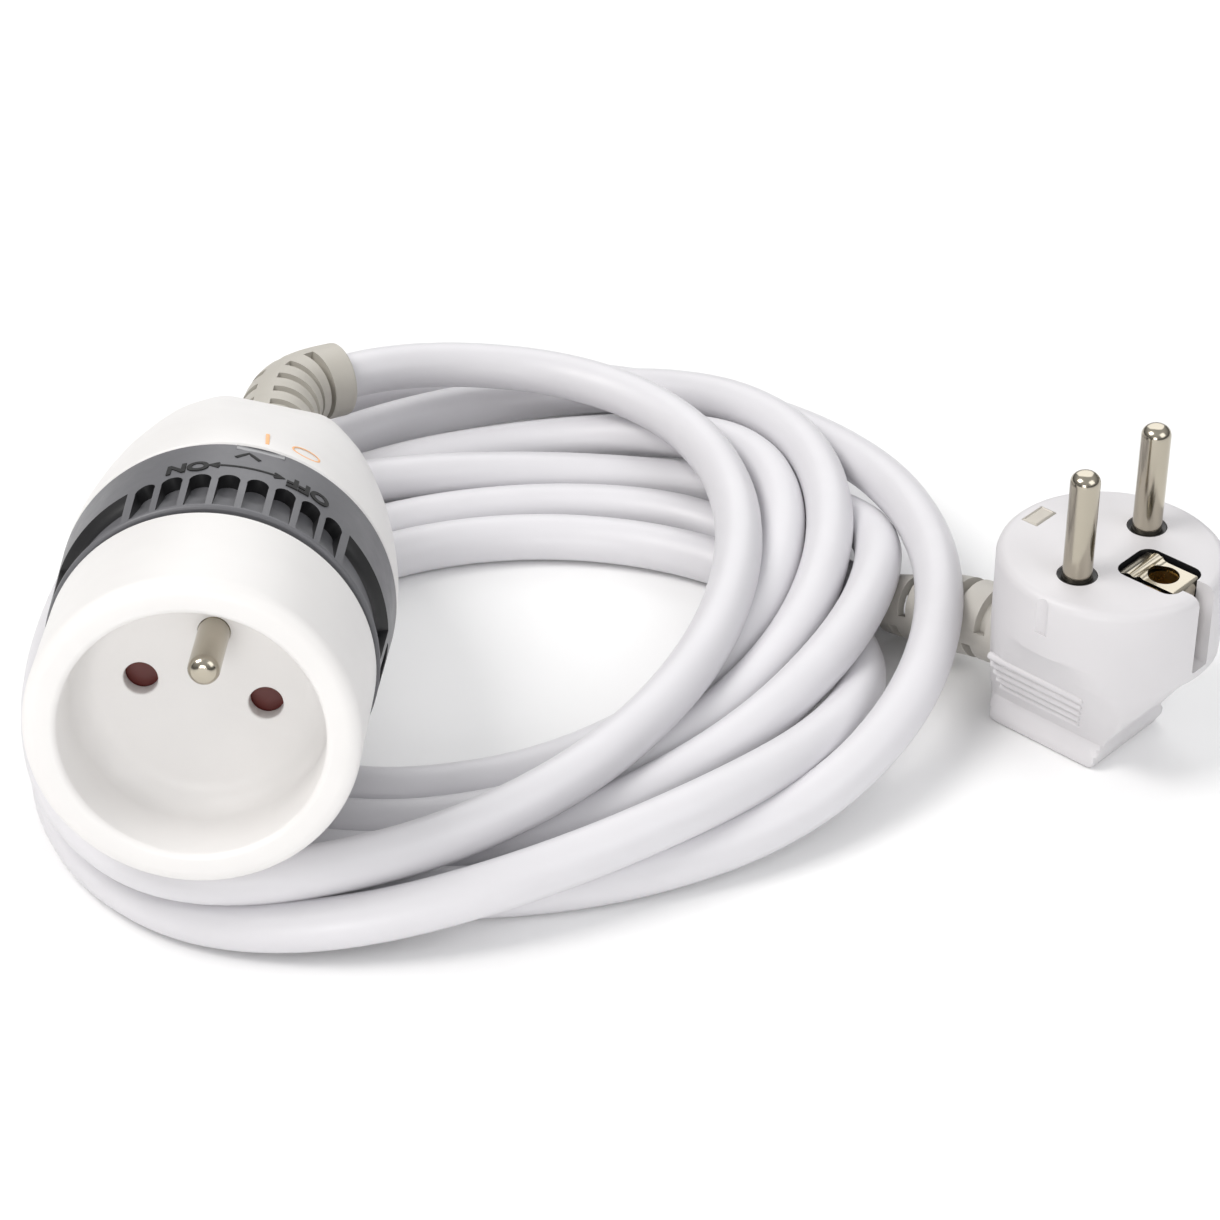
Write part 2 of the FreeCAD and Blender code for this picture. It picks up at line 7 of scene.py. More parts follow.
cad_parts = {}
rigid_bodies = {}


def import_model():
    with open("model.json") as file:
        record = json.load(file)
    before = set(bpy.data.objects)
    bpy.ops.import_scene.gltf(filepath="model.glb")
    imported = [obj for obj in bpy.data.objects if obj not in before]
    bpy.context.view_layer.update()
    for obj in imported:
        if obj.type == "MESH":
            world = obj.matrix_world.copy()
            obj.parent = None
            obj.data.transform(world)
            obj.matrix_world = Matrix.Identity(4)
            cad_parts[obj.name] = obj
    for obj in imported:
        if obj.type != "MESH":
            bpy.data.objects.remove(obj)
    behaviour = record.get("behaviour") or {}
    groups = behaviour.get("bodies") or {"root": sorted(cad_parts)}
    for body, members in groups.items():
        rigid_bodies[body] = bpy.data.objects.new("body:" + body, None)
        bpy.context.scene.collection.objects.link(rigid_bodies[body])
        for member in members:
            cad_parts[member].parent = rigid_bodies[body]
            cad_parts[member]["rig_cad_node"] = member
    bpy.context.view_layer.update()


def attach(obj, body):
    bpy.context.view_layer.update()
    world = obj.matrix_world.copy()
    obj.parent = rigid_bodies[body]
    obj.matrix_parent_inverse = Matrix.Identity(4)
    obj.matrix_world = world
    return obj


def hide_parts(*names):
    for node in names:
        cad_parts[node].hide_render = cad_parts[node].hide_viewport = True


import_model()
print("frame loaded")

mm = 0.001
turn = math.radians

# where the socket and the plug lie
headPlace = (Matrix.Rotation(turn(-1.0), 4, "Z") @ Matrix.Rotation(turn(-9.2), 4, "X")
             @ Matrix.Rotation(turn(11.9), 4, "Y"))
plugPlace = Matrix.Translation(Vector((141.5, 58.5, -6.2)) * mm) @ Matrix.Rotation(turn(47.5), 4, "Z")
floorHeight = -42.2 * mm


studio = dict(cameraAt=(0.061, -0.4084, 0.3046), cameraAim=(0.061, 0.0647, -0.0222), lens=103.28,
              floorSize=6.0, floorColour=(0.93, 0.93, 0.932), floorRough=0.85,
              worldPower=0.60, horizon=(0.10, 0.22), overhead=(0.75, 1.0),  # height in the sky, brightness
              lights=[("windowLight", (-0.45, -0.10, 0.75), 0.45, 4.6, (1.0, 0.985, 0.965)),
                      ("roomLight", (0.70, -0.35, 0.60), 0.60, 2.2, (0.97, 0.985, 1.0)),
                      ("frontLight", (-0.10, -0.80, 0.22), 0.30, 2.2, (1.0, 0.99, 0.975)),
                      ("backLight", (0.15, 0.85, 0.55), 0.80, 3.0, (1.0, 1.0, 1.0))])


def aimAt(thing, spot):
    thing.rotation_euler = (Vector(spot) - thing.location).to_track_quat("-Z", "Y").to_euler()


def clearPick():
    if bpy.context.object and bpy.context.object.mode != "OBJECT":
        bpy.ops.object.mode_set(mode="OBJECT")
    bpy.ops.object.select_all(action="DESELECT")


def setUpStudio(look):
    clearPick()
    bpy.ops.object.camera_add(location=look["cameraAt"])
    camera = bpy.context.object
    camera.name = "camera"
    camera.data.lens = look["lens"]
    camera.data.sensor_width = 36
    camera.data.clip_start = 0.01  # the pins come close to the camera in near views
    aimAt(camera, look["cameraAim"])
    bpy.context.scene.camera = camera
    bpy.ops.mesh.primitive_plane_add(size=look["floorSize"], location=(0, 0, floorHeight))
    floor = bpy.context.object
    floor.name = "floor"
    paper = bpy.data.materials.new("studioPaper")
    paper.use_nodes = True
    paper.node_tree.nodes["Principled BSDF"].inputs["Base Color"].default_value = (*look["floorColour"], 1)
    paper.node_tree.nodes["Principled BSDF"].inputs["Roughness"].default_value = look["floorRough"]
    floor.data.materials.append(paper)
    for name, spot, size, power, colour in look["lights"]:
        bpy.ops.object.light_add(type="AREA", location=spot)
        light = bpy.context.object
        light.name = name
        light.data.size = size
        light.data.energy = power
        light.data.color = colour
        aimAt(light, look["cameraAim"])
    world = bpy.data.worlds.new("softRoom")
    world.use_nodes = True
    tree = world.node_tree
    where = tree.nodes.new("ShaderNodeTexCoord")
    split = tree.nodes.new("ShaderNodeSeparateXYZ")
    ramp = tree.nodes.new("ShaderNodeValToRGB")
    stops = ramp.color_ramp.elements
    stops[0].position, stops[0].color = look["horizon"][0], (*[look["horizon"][1]] * 3, 1)
    stops[1].position, stops[1].color = look["overhead"][0], (*[look["overhead"][1]] * 3, 1)
    tree.links.new(where.outputs["Generated"], split.inputs["Vector"])
    tree.links.new(split.outputs["Z"], ramp.inputs["Fac"])
    tree.links.new(ramp.outputs["Color"], tree.nodes["Background"].inputs["Color"])
    tree.nodes["Background"].inputs["Strength"].default_value = look["worldPower"]
    bpy.context.scene.world = world
    bpy.context.scene.view_settings.view_transform = "Standard"


setUpStudio(studio)
print("studio ready")


finishes = dict(
    headPlastic=dict(colour=(0.79, 0.775, 0.765), rough=0.42, roughVary=0.08, grain=2600, grainDepth=0.010,
                     cloud=0.03, coat=0.0),
    ringPlastic=dict(colour=(0.130, 0.130, 0.140), rough=0.42, roughVary=0.10, grain=3200, grainDepth=0.02,
                     cloud=0.08, coat=0.0),
    shutterPlastic=dict(colour=(0.105, 0.013, 0.009), rough=0.34, roughVary=0.08, grain=1800, grainDepth=0.01,
                        cloud=0.05, coat=0.0),
    # black plastic of the carriers, seals and rotor; also used as painted shade in the ring's hollows and the
    # plug's earth slot
    blackPlasticAndShade=dict(colour=(0.012, 0.012, 0.013), rough=0.38, roughVary=0.10, grain=2200, grainDepth=0.015,
                      cloud=0.05, coat=0.0),
    windowPlastic=dict(colour=(0.24, 0.24, 0.25), rough=0.20, roughVary=0.05, grain=1500, grainDepth=0.004,
                       cloud=0.02, coat=0.3),
    printInk=dict(colour=(0.004, 0.004, 0.004), rough=0.62, roughVary=0.10, grain=3000, grainDepth=0.02,
                  cloud=0.10, coat=0.0),
    orangeInk=dict(colour=(0.93, 0.50, 0.24), rough=0.55, roughVary=0.10, grain=3000, grainDepth=0.02,
                   cloud=0.12, coat=0.0),
    headBoot=dict(colour=(0.50, 0.475, 0.425), rough=0.48, roughVary=0.10, grain=2400, grainDepth=0.03,
                  cloud=0.05, coat=0.0),
    plugPlastic=dict(colour=(0.655, 0.640, 0.655), rough=0.44, roughVary=0.08, grain=2400, grainDepth=0.02,
                     cloud=0.03, coat=0.0),
    plugBoot=dict(colour=(0.47, 0.45, 0.415), rough=0.50, roughVary=0.10, grain=2400, grainDepth=0.03,
                  cloud=0.05, coat=0.0),
    cordSheath=dict(colour=(0.690, 0.680, 0.705), rough=0.40, roughVary=0.10, grain=1400, grainDepth=0.012,
                    cloud=0.03, coat=0.0),
    nickelPlate=dict(colour=(0.46, 0.42, 0.345), rough=0.19, roughVary=0.10, grain=1600, grainDepth=0.010,
                     cloud=0.06, coat=0.0, metal=1.0),
    satinNickel=dict(colour=(0.56, 0.53, 0.48), rough=0.58, roughVary=0.10, grain=1600, grainDepth=0.015,
                     cloud=0.05, coat=0.0, metal=1.0),
    paleBrass=dict(colour=(0.78, 0.60, 0.30), rough=0.28, roughVary=0.12, grain=1500, grainDepth=0.02,
                   cloud=0.10, coat=0.0, metal=1.0),
    springSteel=dict(colour=(0.60, 0.60, 0.61), rough=0.30, roughVary=0.12, grain=1500, grainDepth=0.02,
                     cloud=0.08, coat=0.0, metal=1.0),
    greenWire=dict(colour=(0.42, 0.55, 0.06), rough=0.35, roughVary=0.06, grain=1500, grainDepth=0.01,
                   cloud=0.05, coat=0.0),
    brownWire=dict(colour=(0.13, 0.05, 0.02), rough=0.35, roughVary=0.06, grain=1500, grainDepth=0.01,
                   cloud=0.05, coat=0.0),
    blueWire=dict(colour=(0.03, 0.11, 0.42), rough=0.35, roughVary=0.06, grain=1500, grainDepth=0.01,
                  cloud=0.05, coat=0.0))


texture = dict(cloudScale=90.0, smudgeScale=260.0, smudgeLow=0.3, smudgeHigh=0.7, bump=0.35, coatRough=0.25)


def addNode(tree, kind, **values):
    node = tree.nodes.new(kind)
    for name, value in values.items():
        node.inputs[name].default_value = value
    return node


def makeFinish(name, look):
    # moulded or plated surface: cloudy tint, uneven gloss and a fine grain
    material = bpy.data.materials.new(name)
    material.use_nodes = True
    tree = material.node_tree
    shader = tree.nodes["Principled BSDF"]
    shader.inputs["Metallic"].default_value = look.get("metal", 0.0)
    shader.inputs["Coat Weight"].default_value = look["coat"]
    shader.inputs["Coat Roughness"].default_value = texture["coatRough"]
    where = tree.nodes.new("ShaderNodeTexCoord")
    cloud = addNode(tree, "ShaderNodeTexNoise", Scale=texture["cloudScale"], Detail=3.0, Roughness=0.55)
    smudge = addNode(tree, "ShaderNodeTexNoise", Scale=texture["smudgeScale"], Detail=4.0, Roughness=0.6)
    grain = addNode(tree, "ShaderNodeTexNoise", Scale=float(look["grain"]), Detail=2.0, Roughness=0.5)
    for noise in (cloud, smudge, grain):
        tree.links.new(where.outputs["Object"], noise.inputs["Vector"])
    tint = tree.nodes.new("ShaderNodeMix")
    tint.data_type = "RGBA"
    low = 1.0 - look["cloud"]
    high = 1.0 + look["cloud"]
    tint.inputs["A"].default_value = (*[min(c * low, 1.0) for c in look["colour"]], 1)
    tint.inputs["B"].default_value = (*[min(c * high, 1.0) for c in look["colour"]], 1)
    tree.links.new(cloud.outputs["Fac"], tint.inputs["Factor"])
    tree.links.new(tint.outputs["Result"], shader.inputs["Base Color"])
    gloss = addNode(tree, "ShaderNodeMapRange")
    gloss.inputs["From Min"].default_value = texture["smudgeLow"]
    gloss.inputs["From Max"].default_value = texture["smudgeHigh"]
    gloss.inputs["To Min"].default_value = look["rough"] - look["roughVary"] / 2
    gloss.inputs["To Max"].default_value = look["rough"] + look["roughVary"] / 2
    tree.links.new(smudge.outputs["Fac"], gloss.inputs["Value"])
    tree.links.new(gloss.outputs["Result"], shader.inputs["Roughness"])
    bump = addNode(tree, "ShaderNodeBump", Strength=texture["bump"])
    bump.inputs["Distance"].default_value = look["grainDepth"] * mm
    tree.links.new(grain.outputs["Fac"], bump.inputs["Height"])
    tree.links.new(bump.outputs["Normal"], shader.inputs["Normal"])
    return material


materials = {name: makeFinish(name, look) for name, look in finishes.items()}
print("finishes ready")


def pick(piece, kind, test):
    # select the piece's vertices, edges or faces that pass the test, and go into edit mode
    bpy.ops.object.mode_set(mode="OBJECT")
    mesh = piece.data
    for group in (mesh.vertices, mesh.edges, mesh.polygons):
        group.foreach_set("select", [False] * len(group))
    bpy.context.tool_settings.mesh_select_mode = (kind == "vertex", kind == "edge", kind == "face")
    if kind == "vertex":
        for vertex in mesh.vertices:
            vertex.select = test(vertex.co)
    elif kind == "edge":
        for edge in mesh.edges:
            edge.select = test(*[mesh.vertices[i].co for i in edge.vertices])
    else:
        for face in mesh.polygons:
            face.select = test(face.center, face.normal)
    bpy.ops.object.mode_set(mode="EDIT")


def tidyMesh(piece, smooth=35):
    # merge doubles, point the faces outwards and smooth the soft edges
    bpy.ops.object.mode_set(mode="EDIT")
    bpy.ops.mesh.select_all(action="SELECT")
    bpy.ops.mesh.remove_doubles(threshold=0.002 * mm)
    bpy.ops.mesh.normals_make_consistent(inside=False)
    bpy.ops.object.mode_set(mode="OBJECT")
    bpy.ops.object.shade_smooth_by_angle(angle=turn(smooth))


def roundedLine(corners):
    # (radius, along, rounding) corners to a smooth outline
    line = []
    for i, (radius, along, rounding) in enumerate(corners):
        here = Vector((radius, along))
        if not rounding or i in (0, len(corners) - 1):
            line.append(here)
            continue
        before = (Vector(corners[i - 1][:2]) - here).normalized()
        after = (Vector(corners[i + 1][:2]) - here).normalized()
        half = before.angle(after) / 2
        reach = rounding / math.tan(half)
        centre = here + (before + after).normalized() * (rounding / math.sin(half))
        start = here + before * reach - centre
        sweep = start.angle_signed(here + after * reach - centre)
        steps = max(3, int(abs(sweep) / turn(11)))
        for k in range(steps + 1):
            angle = -sweep * k / steps
            line.append(centre + Matrix.Rotation(angle, 2) @ start)
    return line


def spunPiece(name, corners, steps=128, middle=(0, 0), along="Y"):
    # draw the outline by extruding a point, then spin it about the axis
    line = roundedLine(corners)
    if along == "Y":
        spots = [Vector((r + middle[0], a, middle[1])) * mm for r, a in line]
        centre, axis = Vector((middle[0], 0, middle[1])) * mm, (0, 1, 0)
    else:
        spots = [Vector((r + middle[0], middle[1], a)) * mm for r, a in line]
        centre, axis = Vector((middle[0], middle[1], 0)) * mm, (0, 0, 1)
    clearPick()
    bpy.ops.mesh.primitive_plane_add(size=mm, location=spots[0])
    piece = bpy.context.object
    piece.name = name
    bpy.ops.object.transform_apply(location=True, rotation=True, scale=True)
    bpy.ops.object.mode_set(mode="EDIT")
    bpy.context.tool_settings.mesh_select_mode = (True, False, False)
    bpy.ops.mesh.select_all(action="SELECT")
    bpy.ops.mesh.merge(type="CENTER")
    for before, after in zip(spots, spots[1:]):
        bpy.ops.mesh.extrude_region_move(TRANSFORM_OT_translate={"value": after - before})
    bpy.ops.mesh.select_all(action="SELECT")
    bpy.ops.mesh.spin(steps=steps, angle=2 * math.pi, center=centre, axis=axis)
    tidyMesh(piece)
    return piece


def blockPiece(name, low, high, bevel=0.0, segments=3):
    clearPick()
    low, high = Vector(low) * mm, Vector(high) * mm
    bpy.ops.mesh.primitive_cube_add(size=1, location=(low + high) / 2, scale=high - low)
    piece = bpy.context.object
    piece.name = name
    bpy.ops.object.transform_apply(location=True, rotation=True, scale=True)
    if bevel:
        bpy.ops.object.mode_set(mode="EDIT")
        bpy.ops.mesh.select_all(action="SELECT")
        bpy.ops.mesh.bevel(offset=bevel * mm, segments=segments, affect="EDGES")
        bpy.ops.object.mode_set(mode="OBJECT")
    return piece


def rodPiece(name, radius, start, end, middle=(0, 0), along="Y", sides=64):
    clearPick()
    half = (start + end) / 2
    spot = (middle[0], half, middle[1]) if along == "Y" else (middle[0], middle[1], half)
    facing = (turn(90), 0, 0) if along == "Y" else (0, 0, 0)
    bpy.ops.mesh.primitive_cylinder_add(vertices=sides, radius=radius * mm, depth=abs(end - start) * mm,
                                        location=Vector(spot) * mm, rotation=facing)
    piece = bpy.context.object
    piece.name = name
    bpy.ops.object.transform_apply(location=True, rotation=True, scale=True)
    return piece


def swing(piece, angle, axis="Y"):
    piece.data.transform(Matrix.Rotation(turn(angle), 4, axis))
    return piece


def joined(pieces, name):
    clearPick()
    for piece in pieces:
        piece.select_set(True)
    bpy.context.view_layer.objects.active = pieces[0]
    if len(pieces) > 1:
        bpy.ops.object.join()
    whole = bpy.context.object
    whole.name = name
    return whole


def carve(piece, cutters, operation="DIFFERENCE"):
    # cut or add the cutters, one after another
    for cutter in cutters:
        clearPick()
        bpy.context.view_layer.objects.active = piece
        piece.select_set(True)
        tool = piece.modifiers.new("carve", "BOOLEAN")
        tool.operation = operation
        tool.solver = "EXACT"
        tool.object = cutter
        bpy.ops.object.modifier_apply(modifier=tool.name)
        bpy.data.objects.remove(cutter)
    return piece


def softenEdges(piece, width, sharp=40, segments=2):
    clearPick()
    bpy.context.view_layer.objects.active = piece
    piece.select_set(True)
    tool = piece.modifiers.new("soften", "BEVEL")
    tool.width = width * mm
    tool.segments = segments
    tool.limit_method = "ANGLE"
    tool.angle_limit = turn(sharp)
    tool.use_clamp_overlap = True
    bpy.ops.object.modifier_apply(modifier=tool.name)


def setDown(piece, place, finish, slotName, body, *nodes, smooth=35):
    # move the piece to its place in the row, give it its finish, hang it on its body and hide the CAD parts it
    # stands for
    clearPick()
    bpy.context.view_layer.objects.active = piece
    piece.select_set(True)
    tidyMesh(piece, smooth)
    piece.data.transform(place)
    piece.data.materials.clear()
    piece.data.materials.append(materials[finish])
    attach(piece, body)
    if nodes:
        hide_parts(*nodes)
    return piece


cupLook = dict(radius=25.2, edge=2.3, length=24.0, recess=19.75, mouth=1.0, depth=15.0, corner=4.6, floor=2.5,
               cavity=22.0, holes=9.5, hole=2.6, holeStart=10, holeEnd=20, holeBevel=0.3, earthRoot=2.5,
               earthAt=10.0)


def buildFrontCup(look):
    back = look["depth"] + look["floor"]
    cup = spunPiece("frontCup", [
        (0, look["depth"], 0), (look["recess"] - 0.25, look["depth"], look["corner"]),
        (look["recess"], 0, look["mouth"]), (look["radius"] - 0.3, 0, look["edge"]),
        (look["radius"], look["length"], 0.25), (look["cavity"], look["length"], 0.2),
        (look["cavity"], back, 0), (0, back, 0)], steps=160)
    reach = look["holeStart"], look["holeEnd"]
    holes = [rodPiece("hole", look["hole"], *reach, (side * look["holes"], 0)) for side in (-1, 1)]
    holes.append(rodPiece("hole", look["earthRoot"], *reach, (0, look["earthAt"])))
    carve(cup, holes)
    # soften the rims of the two pin holes
    for side in (-1, 1):
        def onRim(a, b, x=side * look["holes"]):
            return all(abs(v.y - look["depth"] * mm) < 0.01 * mm
                       and abs(math.hypot(v.x - x * mm, v.z) - look["hole"] * mm) < 0.02 * mm for v in (a, b))
        pick(cup, "edge", onRim)
        bpy.ops.mesh.bevel(offset=look["holeBevel"] * mm, segments=3, affect="EDGES")
        bpy.ops.object.mode_set(mode="OBJECT")
    return setDown(cup, headPlace, "headPlastic", "head_plastic", "base", "front_cup", smooth=40)


buildFrontCup(cupLook)

earthPinLook = dict(radius=2.4, tip=1.0, dome=1.7, root=2.45, foot=15.0, end=30.0, at=(0, 10.0))


def buildEarthPin(look):
    pin = spunPiece("earthPin", [
        (0, look["tip"], 0), (look["radius"], look["tip"], look["dome"]), (look["radius"], look["foot"], 0),
        (look["root"], look["foot"], 0), (look["root"], look["end"], 0), (0, look["end"], 0)],
        steps=64, middle=look["at"])
    return setDown(pin, headPlace, "nickelPlate", "nickel", "base", "earth_pin")


buildEarthPin(earthPinLook)
print("socket front built")

ringLook = dict(start=25.4, end=47.3, frontRadius=25.6, rearRadius=26.6, bore=23.0, edge=0.6, outside=30,
                groups=3, pockets=8, pocketRise=0.25,
                pitch=9.7, middle=-0.9, pocketWidth=3.4, pocketStart=26.1, pocketEnd=34.6, pocketDepth=2.1,
                scallopSpan=38.0, scallopEnd=37.4, scallopFloor=(23.9, 24.3), scallopHeel=2.2)
windowLook = dict(angle=2.0, half=3.82, start=45.33, end=46.77, low=25.85, high=26.42, seat=25.9, gap=0.03,
                  bevel=0.08)


def ringRadius(look, along):
    share = (along - look["start"]) / (look["end"] - look["start"])
    return look["frontRadius"] + (look["rearRadius"] - look["frontRadius"]) * share


def pocketTool(look):
    # arch: a straight bar with a round rear end, whose floor rises to the front
    half = look["pocketWidth"] / 2
    low = ringRadius(look, look["pocketEnd"]) - look["pocketDepth"]
    bar = rodPiece("pocketTool", half, low, look["outside"], (0, look["pocketEnd"]), along="Z", sides=24)
    pick(bar, "face", lambda centre, normal: normal.y < -0.3 and abs(normal.z) < 0.1)
    bpy.ops.mesh.extrude_region_move(
        TRANSFORM_OT_translate={"value": (0, -(look["pocketEnd"] - look["pocketStart"]) * mm, 0)})
    bpy.ops.mesh.select_all(action="SELECT")
    bpy.ops.object.mode_set(mode="OBJECT")
    for vertex in bar.data.vertices:
        if vertex.co.y < (look["pocketEnd"] - 2 * half) * mm:
            vertex.co.y = look["pocketStart"] * mm
            rim = ringRadius(look, look["pocketStart"]) - look["pocketRise"]
            vertex.co.z = max(vertex.co.z, rim * mm)
    return bar


def sector(span, start, end, inner=12, outer=40):
    # wedge about the axis, to cut a spun tool down to part of a turn
    wedge = blockPiece("wedge", (-outer, start, -outer), (outer, end, outer))
    for vertex in wedge.data.vertices:
        side = 1 if vertex.co.x > 0 else -1
        far = (outer if vertex.co.z > 0 else inner) * mm
        vertex.co.x = side * far * math.tan(turn(span / 2))
        vertex.co.z = far
    return wedge


def buildSwitchRing(look, window):
    ring = spunPiece("switchRing", [
        (look["bore"], look["start"], 0), (look["frontRadius"], look["start"], look["edge"]),
        (look["rearRadius"], look["end"], look["edge"]), (look["bore"], look["end"], 0.3),
        (look["bore"], look["start"], 0)], steps=180)
    tools = []
    for group in range(look["groups"]):
        middle = 360 / look["groups"] * group + look["middle"]
        for i in range(look["pockets"]):
            angle = middle + (i - (look["pockets"] - 1) / 2) * look["pitch"]
            tools.append(swing(pocketTool(look), angle))
        deep, heel = look["scallopFloor"]
        outside, start, end = look["outside"], look["pocketStart"], look["scallopEnd"]
        scallop = spunPiece("scallop", [
            (deep, start, 0), (heel, end - 2.0, look["scallopHeel"]), (outside, end + 1.0, 0),
            (outside, start, 0), (deep, start, 0)], steps=180)
        carve(scallop, [sector(look["scallopSpan"], 20, 45)], "INTERSECT")
        tools.append(swing(scallop, middle + 180 / look["groups"]))
    side = window["half"] + window["gap"]
    cut = blockPiece("windowCut", (-side, window["start"] - window["gap"], window["seat"]),
                     (side, window["end"] + window["gap"], look["outside"]))
    tools.append(swing(cut, window["angle"]))
    carve(ring, [joined(tools, "ringTools")])
    return ring


def paintHollowShade(ring, look):
    # painted shade: the pocket walls and the whole thumb hollows are painted soft black for the deep shade in
    # them, told apart by depth, place and facing
    ring.data.materials.append(materials["blackPlasticAndShade"])
    back = headPlace.inverted()
    straighten = back.to_3x3()
    for face in ring.data.polygons:
        centre = back @ face.center / mm
        facing = straighten @ face.normal
        radius = math.hypot(centre.x, centre.z)
        surface = ringRadius(look, centre.y)
        angle = (math.degrees(math.atan2(centre.x, centre.z)) - look["middle"] + 60) % 120 - 60
        outward = (facing.x * centre.x + facing.z * centre.z) / radius
        inHollow = 24.2 < radius < surface - 0.12 and 26.5 < centre.y < look["scallopEnd"] + 0.6
        inScallop = abs(angle) > 60 - look["scallopSpan"] / 2 - 0.6
        if inHollow and (inScallop or outward < 0.75):
            # this face lies in a hollow: painted shade
            face.material_index = 1


def wrapOnRing(piece, angle, along, radius, lift):
    # lay a flat drawing, X across and Y along, on the drum; its thickness runs outwards
    for vertex in piece.data.vertices:
        x, y, z = vertex.co / mm
        bend = turn(angle) + x / radius
        rise = radius + z + lift
        vertex.co = Vector((rise * math.sin(bend), along + y, rise * math.cos(bend))) * mm


# a mark's place is its angle round the ring and its distance from the front
markLook = dict(letterSize=4.2, letterBold=0.17, onAt=(-21.0, 39.2), offAt=(21.0, 39.2), arrowFrom=-13.6,
                arrowTo=11.6, arrowAlong=39.4, barb=(1.5, 0.8), stroke=0.66, thick=0.26,
                pointerAt=(-1.6, 43.5), pointerHalf=1.85, pointerRise=1.9)


def strokePiece(name, spots, width, thick):
    # flat bar through the spots, cut fine enough to bend round the drum
    curve = bpy.data.curves.new(name, "CURVE")
    curve.dimensions = "3D"
    line = curve.splines.new("POLY")
    fine = [spots[0]]
    for a, b in zip(spots, spots[1:]):
        steps = max(1, int(math.dist(a, b) / 0.8))
        for k in range(1, steps + 1):
            fine.append((a[0] + (b[0] - a[0]) * k / steps, a[1] + (b[1] - a[1]) * k / steps))
    line.points.add(len(fine) - 1)
    for point, (x, y) in zip(line.points, fine):
        point.co = (x * mm, y * mm, 0, 1)
    curve.bevel_depth = width / 2 * mm
    curve.bevel_resolution = 1
    curve.use_fill_caps = True
    piece = bpy.data.objects.new(name, curve)
    bpy.context.collection.objects.link(piece)
    clearPick()
    piece.select_set(True)
    bpy.context.view_layer.objects.active = piece
    bpy.ops.object.convert(target="MESH")
    piece = bpy.context.object
    for vertex in piece.data.vertices:
        vertex.co.z *= thick / (width / 2) * 0.5
    return piece


def letterPiece(name, word, size, thick, bold):
    # the word reads from the cord's side, so it is turned round
    clearPick()
    bpy.ops.object.text_add()
    text = bpy.context.object
    text.name = name
    text.data.body = word
    text.data.size = size * mm
    text.data.align_x = "CENTER"
    text.data.align_y = "CENTER"
    text.data.extrude = thick / 2 * mm
    text.data.offset = bold * mm
    text.data.resolution_u = 6
    bpy.ops.object.convert(target="MESH")
    text = bpy.context.object
    text.data.transform(Matrix.Rotation(math.pi, 4, "Z"))
    return text


def buildRingMarks(look, ring):
    marks = []
    for word, (angle, along) in (("ON", look["onAt"]), ("OFF", look["offAt"])):
        mark = letterPiece("mark", word, look["letterSize"], look["thick"], look["letterBold"])
        wrapOnRing(mark, angle, along, ringRadius(ring, along), 0.02)
        marks.append(mark)
    radius = ringRadius(ring, look["arrowAlong"])
    middle = (look["arrowFrom"] + look["arrowTo"]) / 2
    half = turn(look["arrowTo"] - look["arrowFrom"]) / 2 * radius
    back, wide = look["barb"]
    strokes = [[(-half, 0), (half, 0)], [(-half + back, wide), (-half, 0), (-half + back, -wide)],
               [(half - back, wide), (half, 0), (half - back, -wide)]]
    for spots in strokes:
        mark = strokePiece("mark", spots, look["stroke"], look["thick"])
        wrapOnRing(mark, middle, look["arrowAlong"], radius, 0.0)
        marks.append(mark)
    wide, rise = look["pointerHalf"], look["pointerRise"]
    angle, along = look["pointerAt"]
    mark = strokePiece("mark", [(-wide, -rise / 2), (0, rise / 2), (wide, -rise / 2)], look["stroke"] * 1.2,
                       look["thick"])
    wrapOnRing(mark, angle, along, ringRadius(ring, along), 0.0)
    marks.append(mark)
    return setDown(joined(marks, "ringMarks"), headPlace, "printInk", "ring_plastic", "switch")


def buildWindow(look):
    bar = blockPiece("pointerWindow", (-look["half"], look["start"], look["low"]),
                     (look["half"], look["end"], look["high"]), look["bevel"], 2)
    return setDown(swing(bar, look["angle"]), headPlace, "windowPlastic", "window_plastic", "switch",
                   "pointer_window")


ringPiece = buildSwitchRing(ringLook, windowLook)
setDown(ringPiece, headPlace, "ringPlastic", "ring_plastic", "switch", "switch_ring", smooth=30)
# paint shade into the ring's pockets and thumb hollows
paintHollowShade(ringPiece, ringLook)
buildRingMarks(markLook, ringLook)
buildWindow(windowLook)
print("switch ring built")

# distance from the front, half width, corner radius
shellLook = dict(wall=2.2, sides=128, outletRadius=7.35, spigotBore=20.9, spigotRadius=22.9, spigotStart=39.2,
                 flangeRadius=24.8, flangeStart=47.6, flangeEnd=49.5,
                 sections=[(47.5, 26.25, 26.2), (47.8, 26.55, 26.5), (49.5, 26.6, 26.5), (54, 26.3, 25.8),
                           (58, 25.7, 24.6), (62, 24.9, 23.0), (66, 23.9, 21.0), (70, 22.7, 18.9),
                           (75, 21.1, 16.2), (80, 19.4, 13.5), (86, 17.2, 10.8), (92, 15.0, 8.2),
                           (95.5, 13.7, 6.8),
                           (97.2, 12.9, 6.0), (98, 11.6, 5.2)])


def roundSquare(angle, half, corner):
    # point at this angle on a square with round corners
    c, s = math.cos(angle), math.sin(angle)
    flat = half - corner
    best = half / max(abs(c), abs(s))
    a, b = abs(c) * best, abs(s) * best
    if a > flat and b > flat:
        dot = flat * (abs(c) + abs(s))
        best = dot + math.sqrt(max(dot * dot - 2 * flat * flat + corner * corner, 0))
    return c * best, s * best


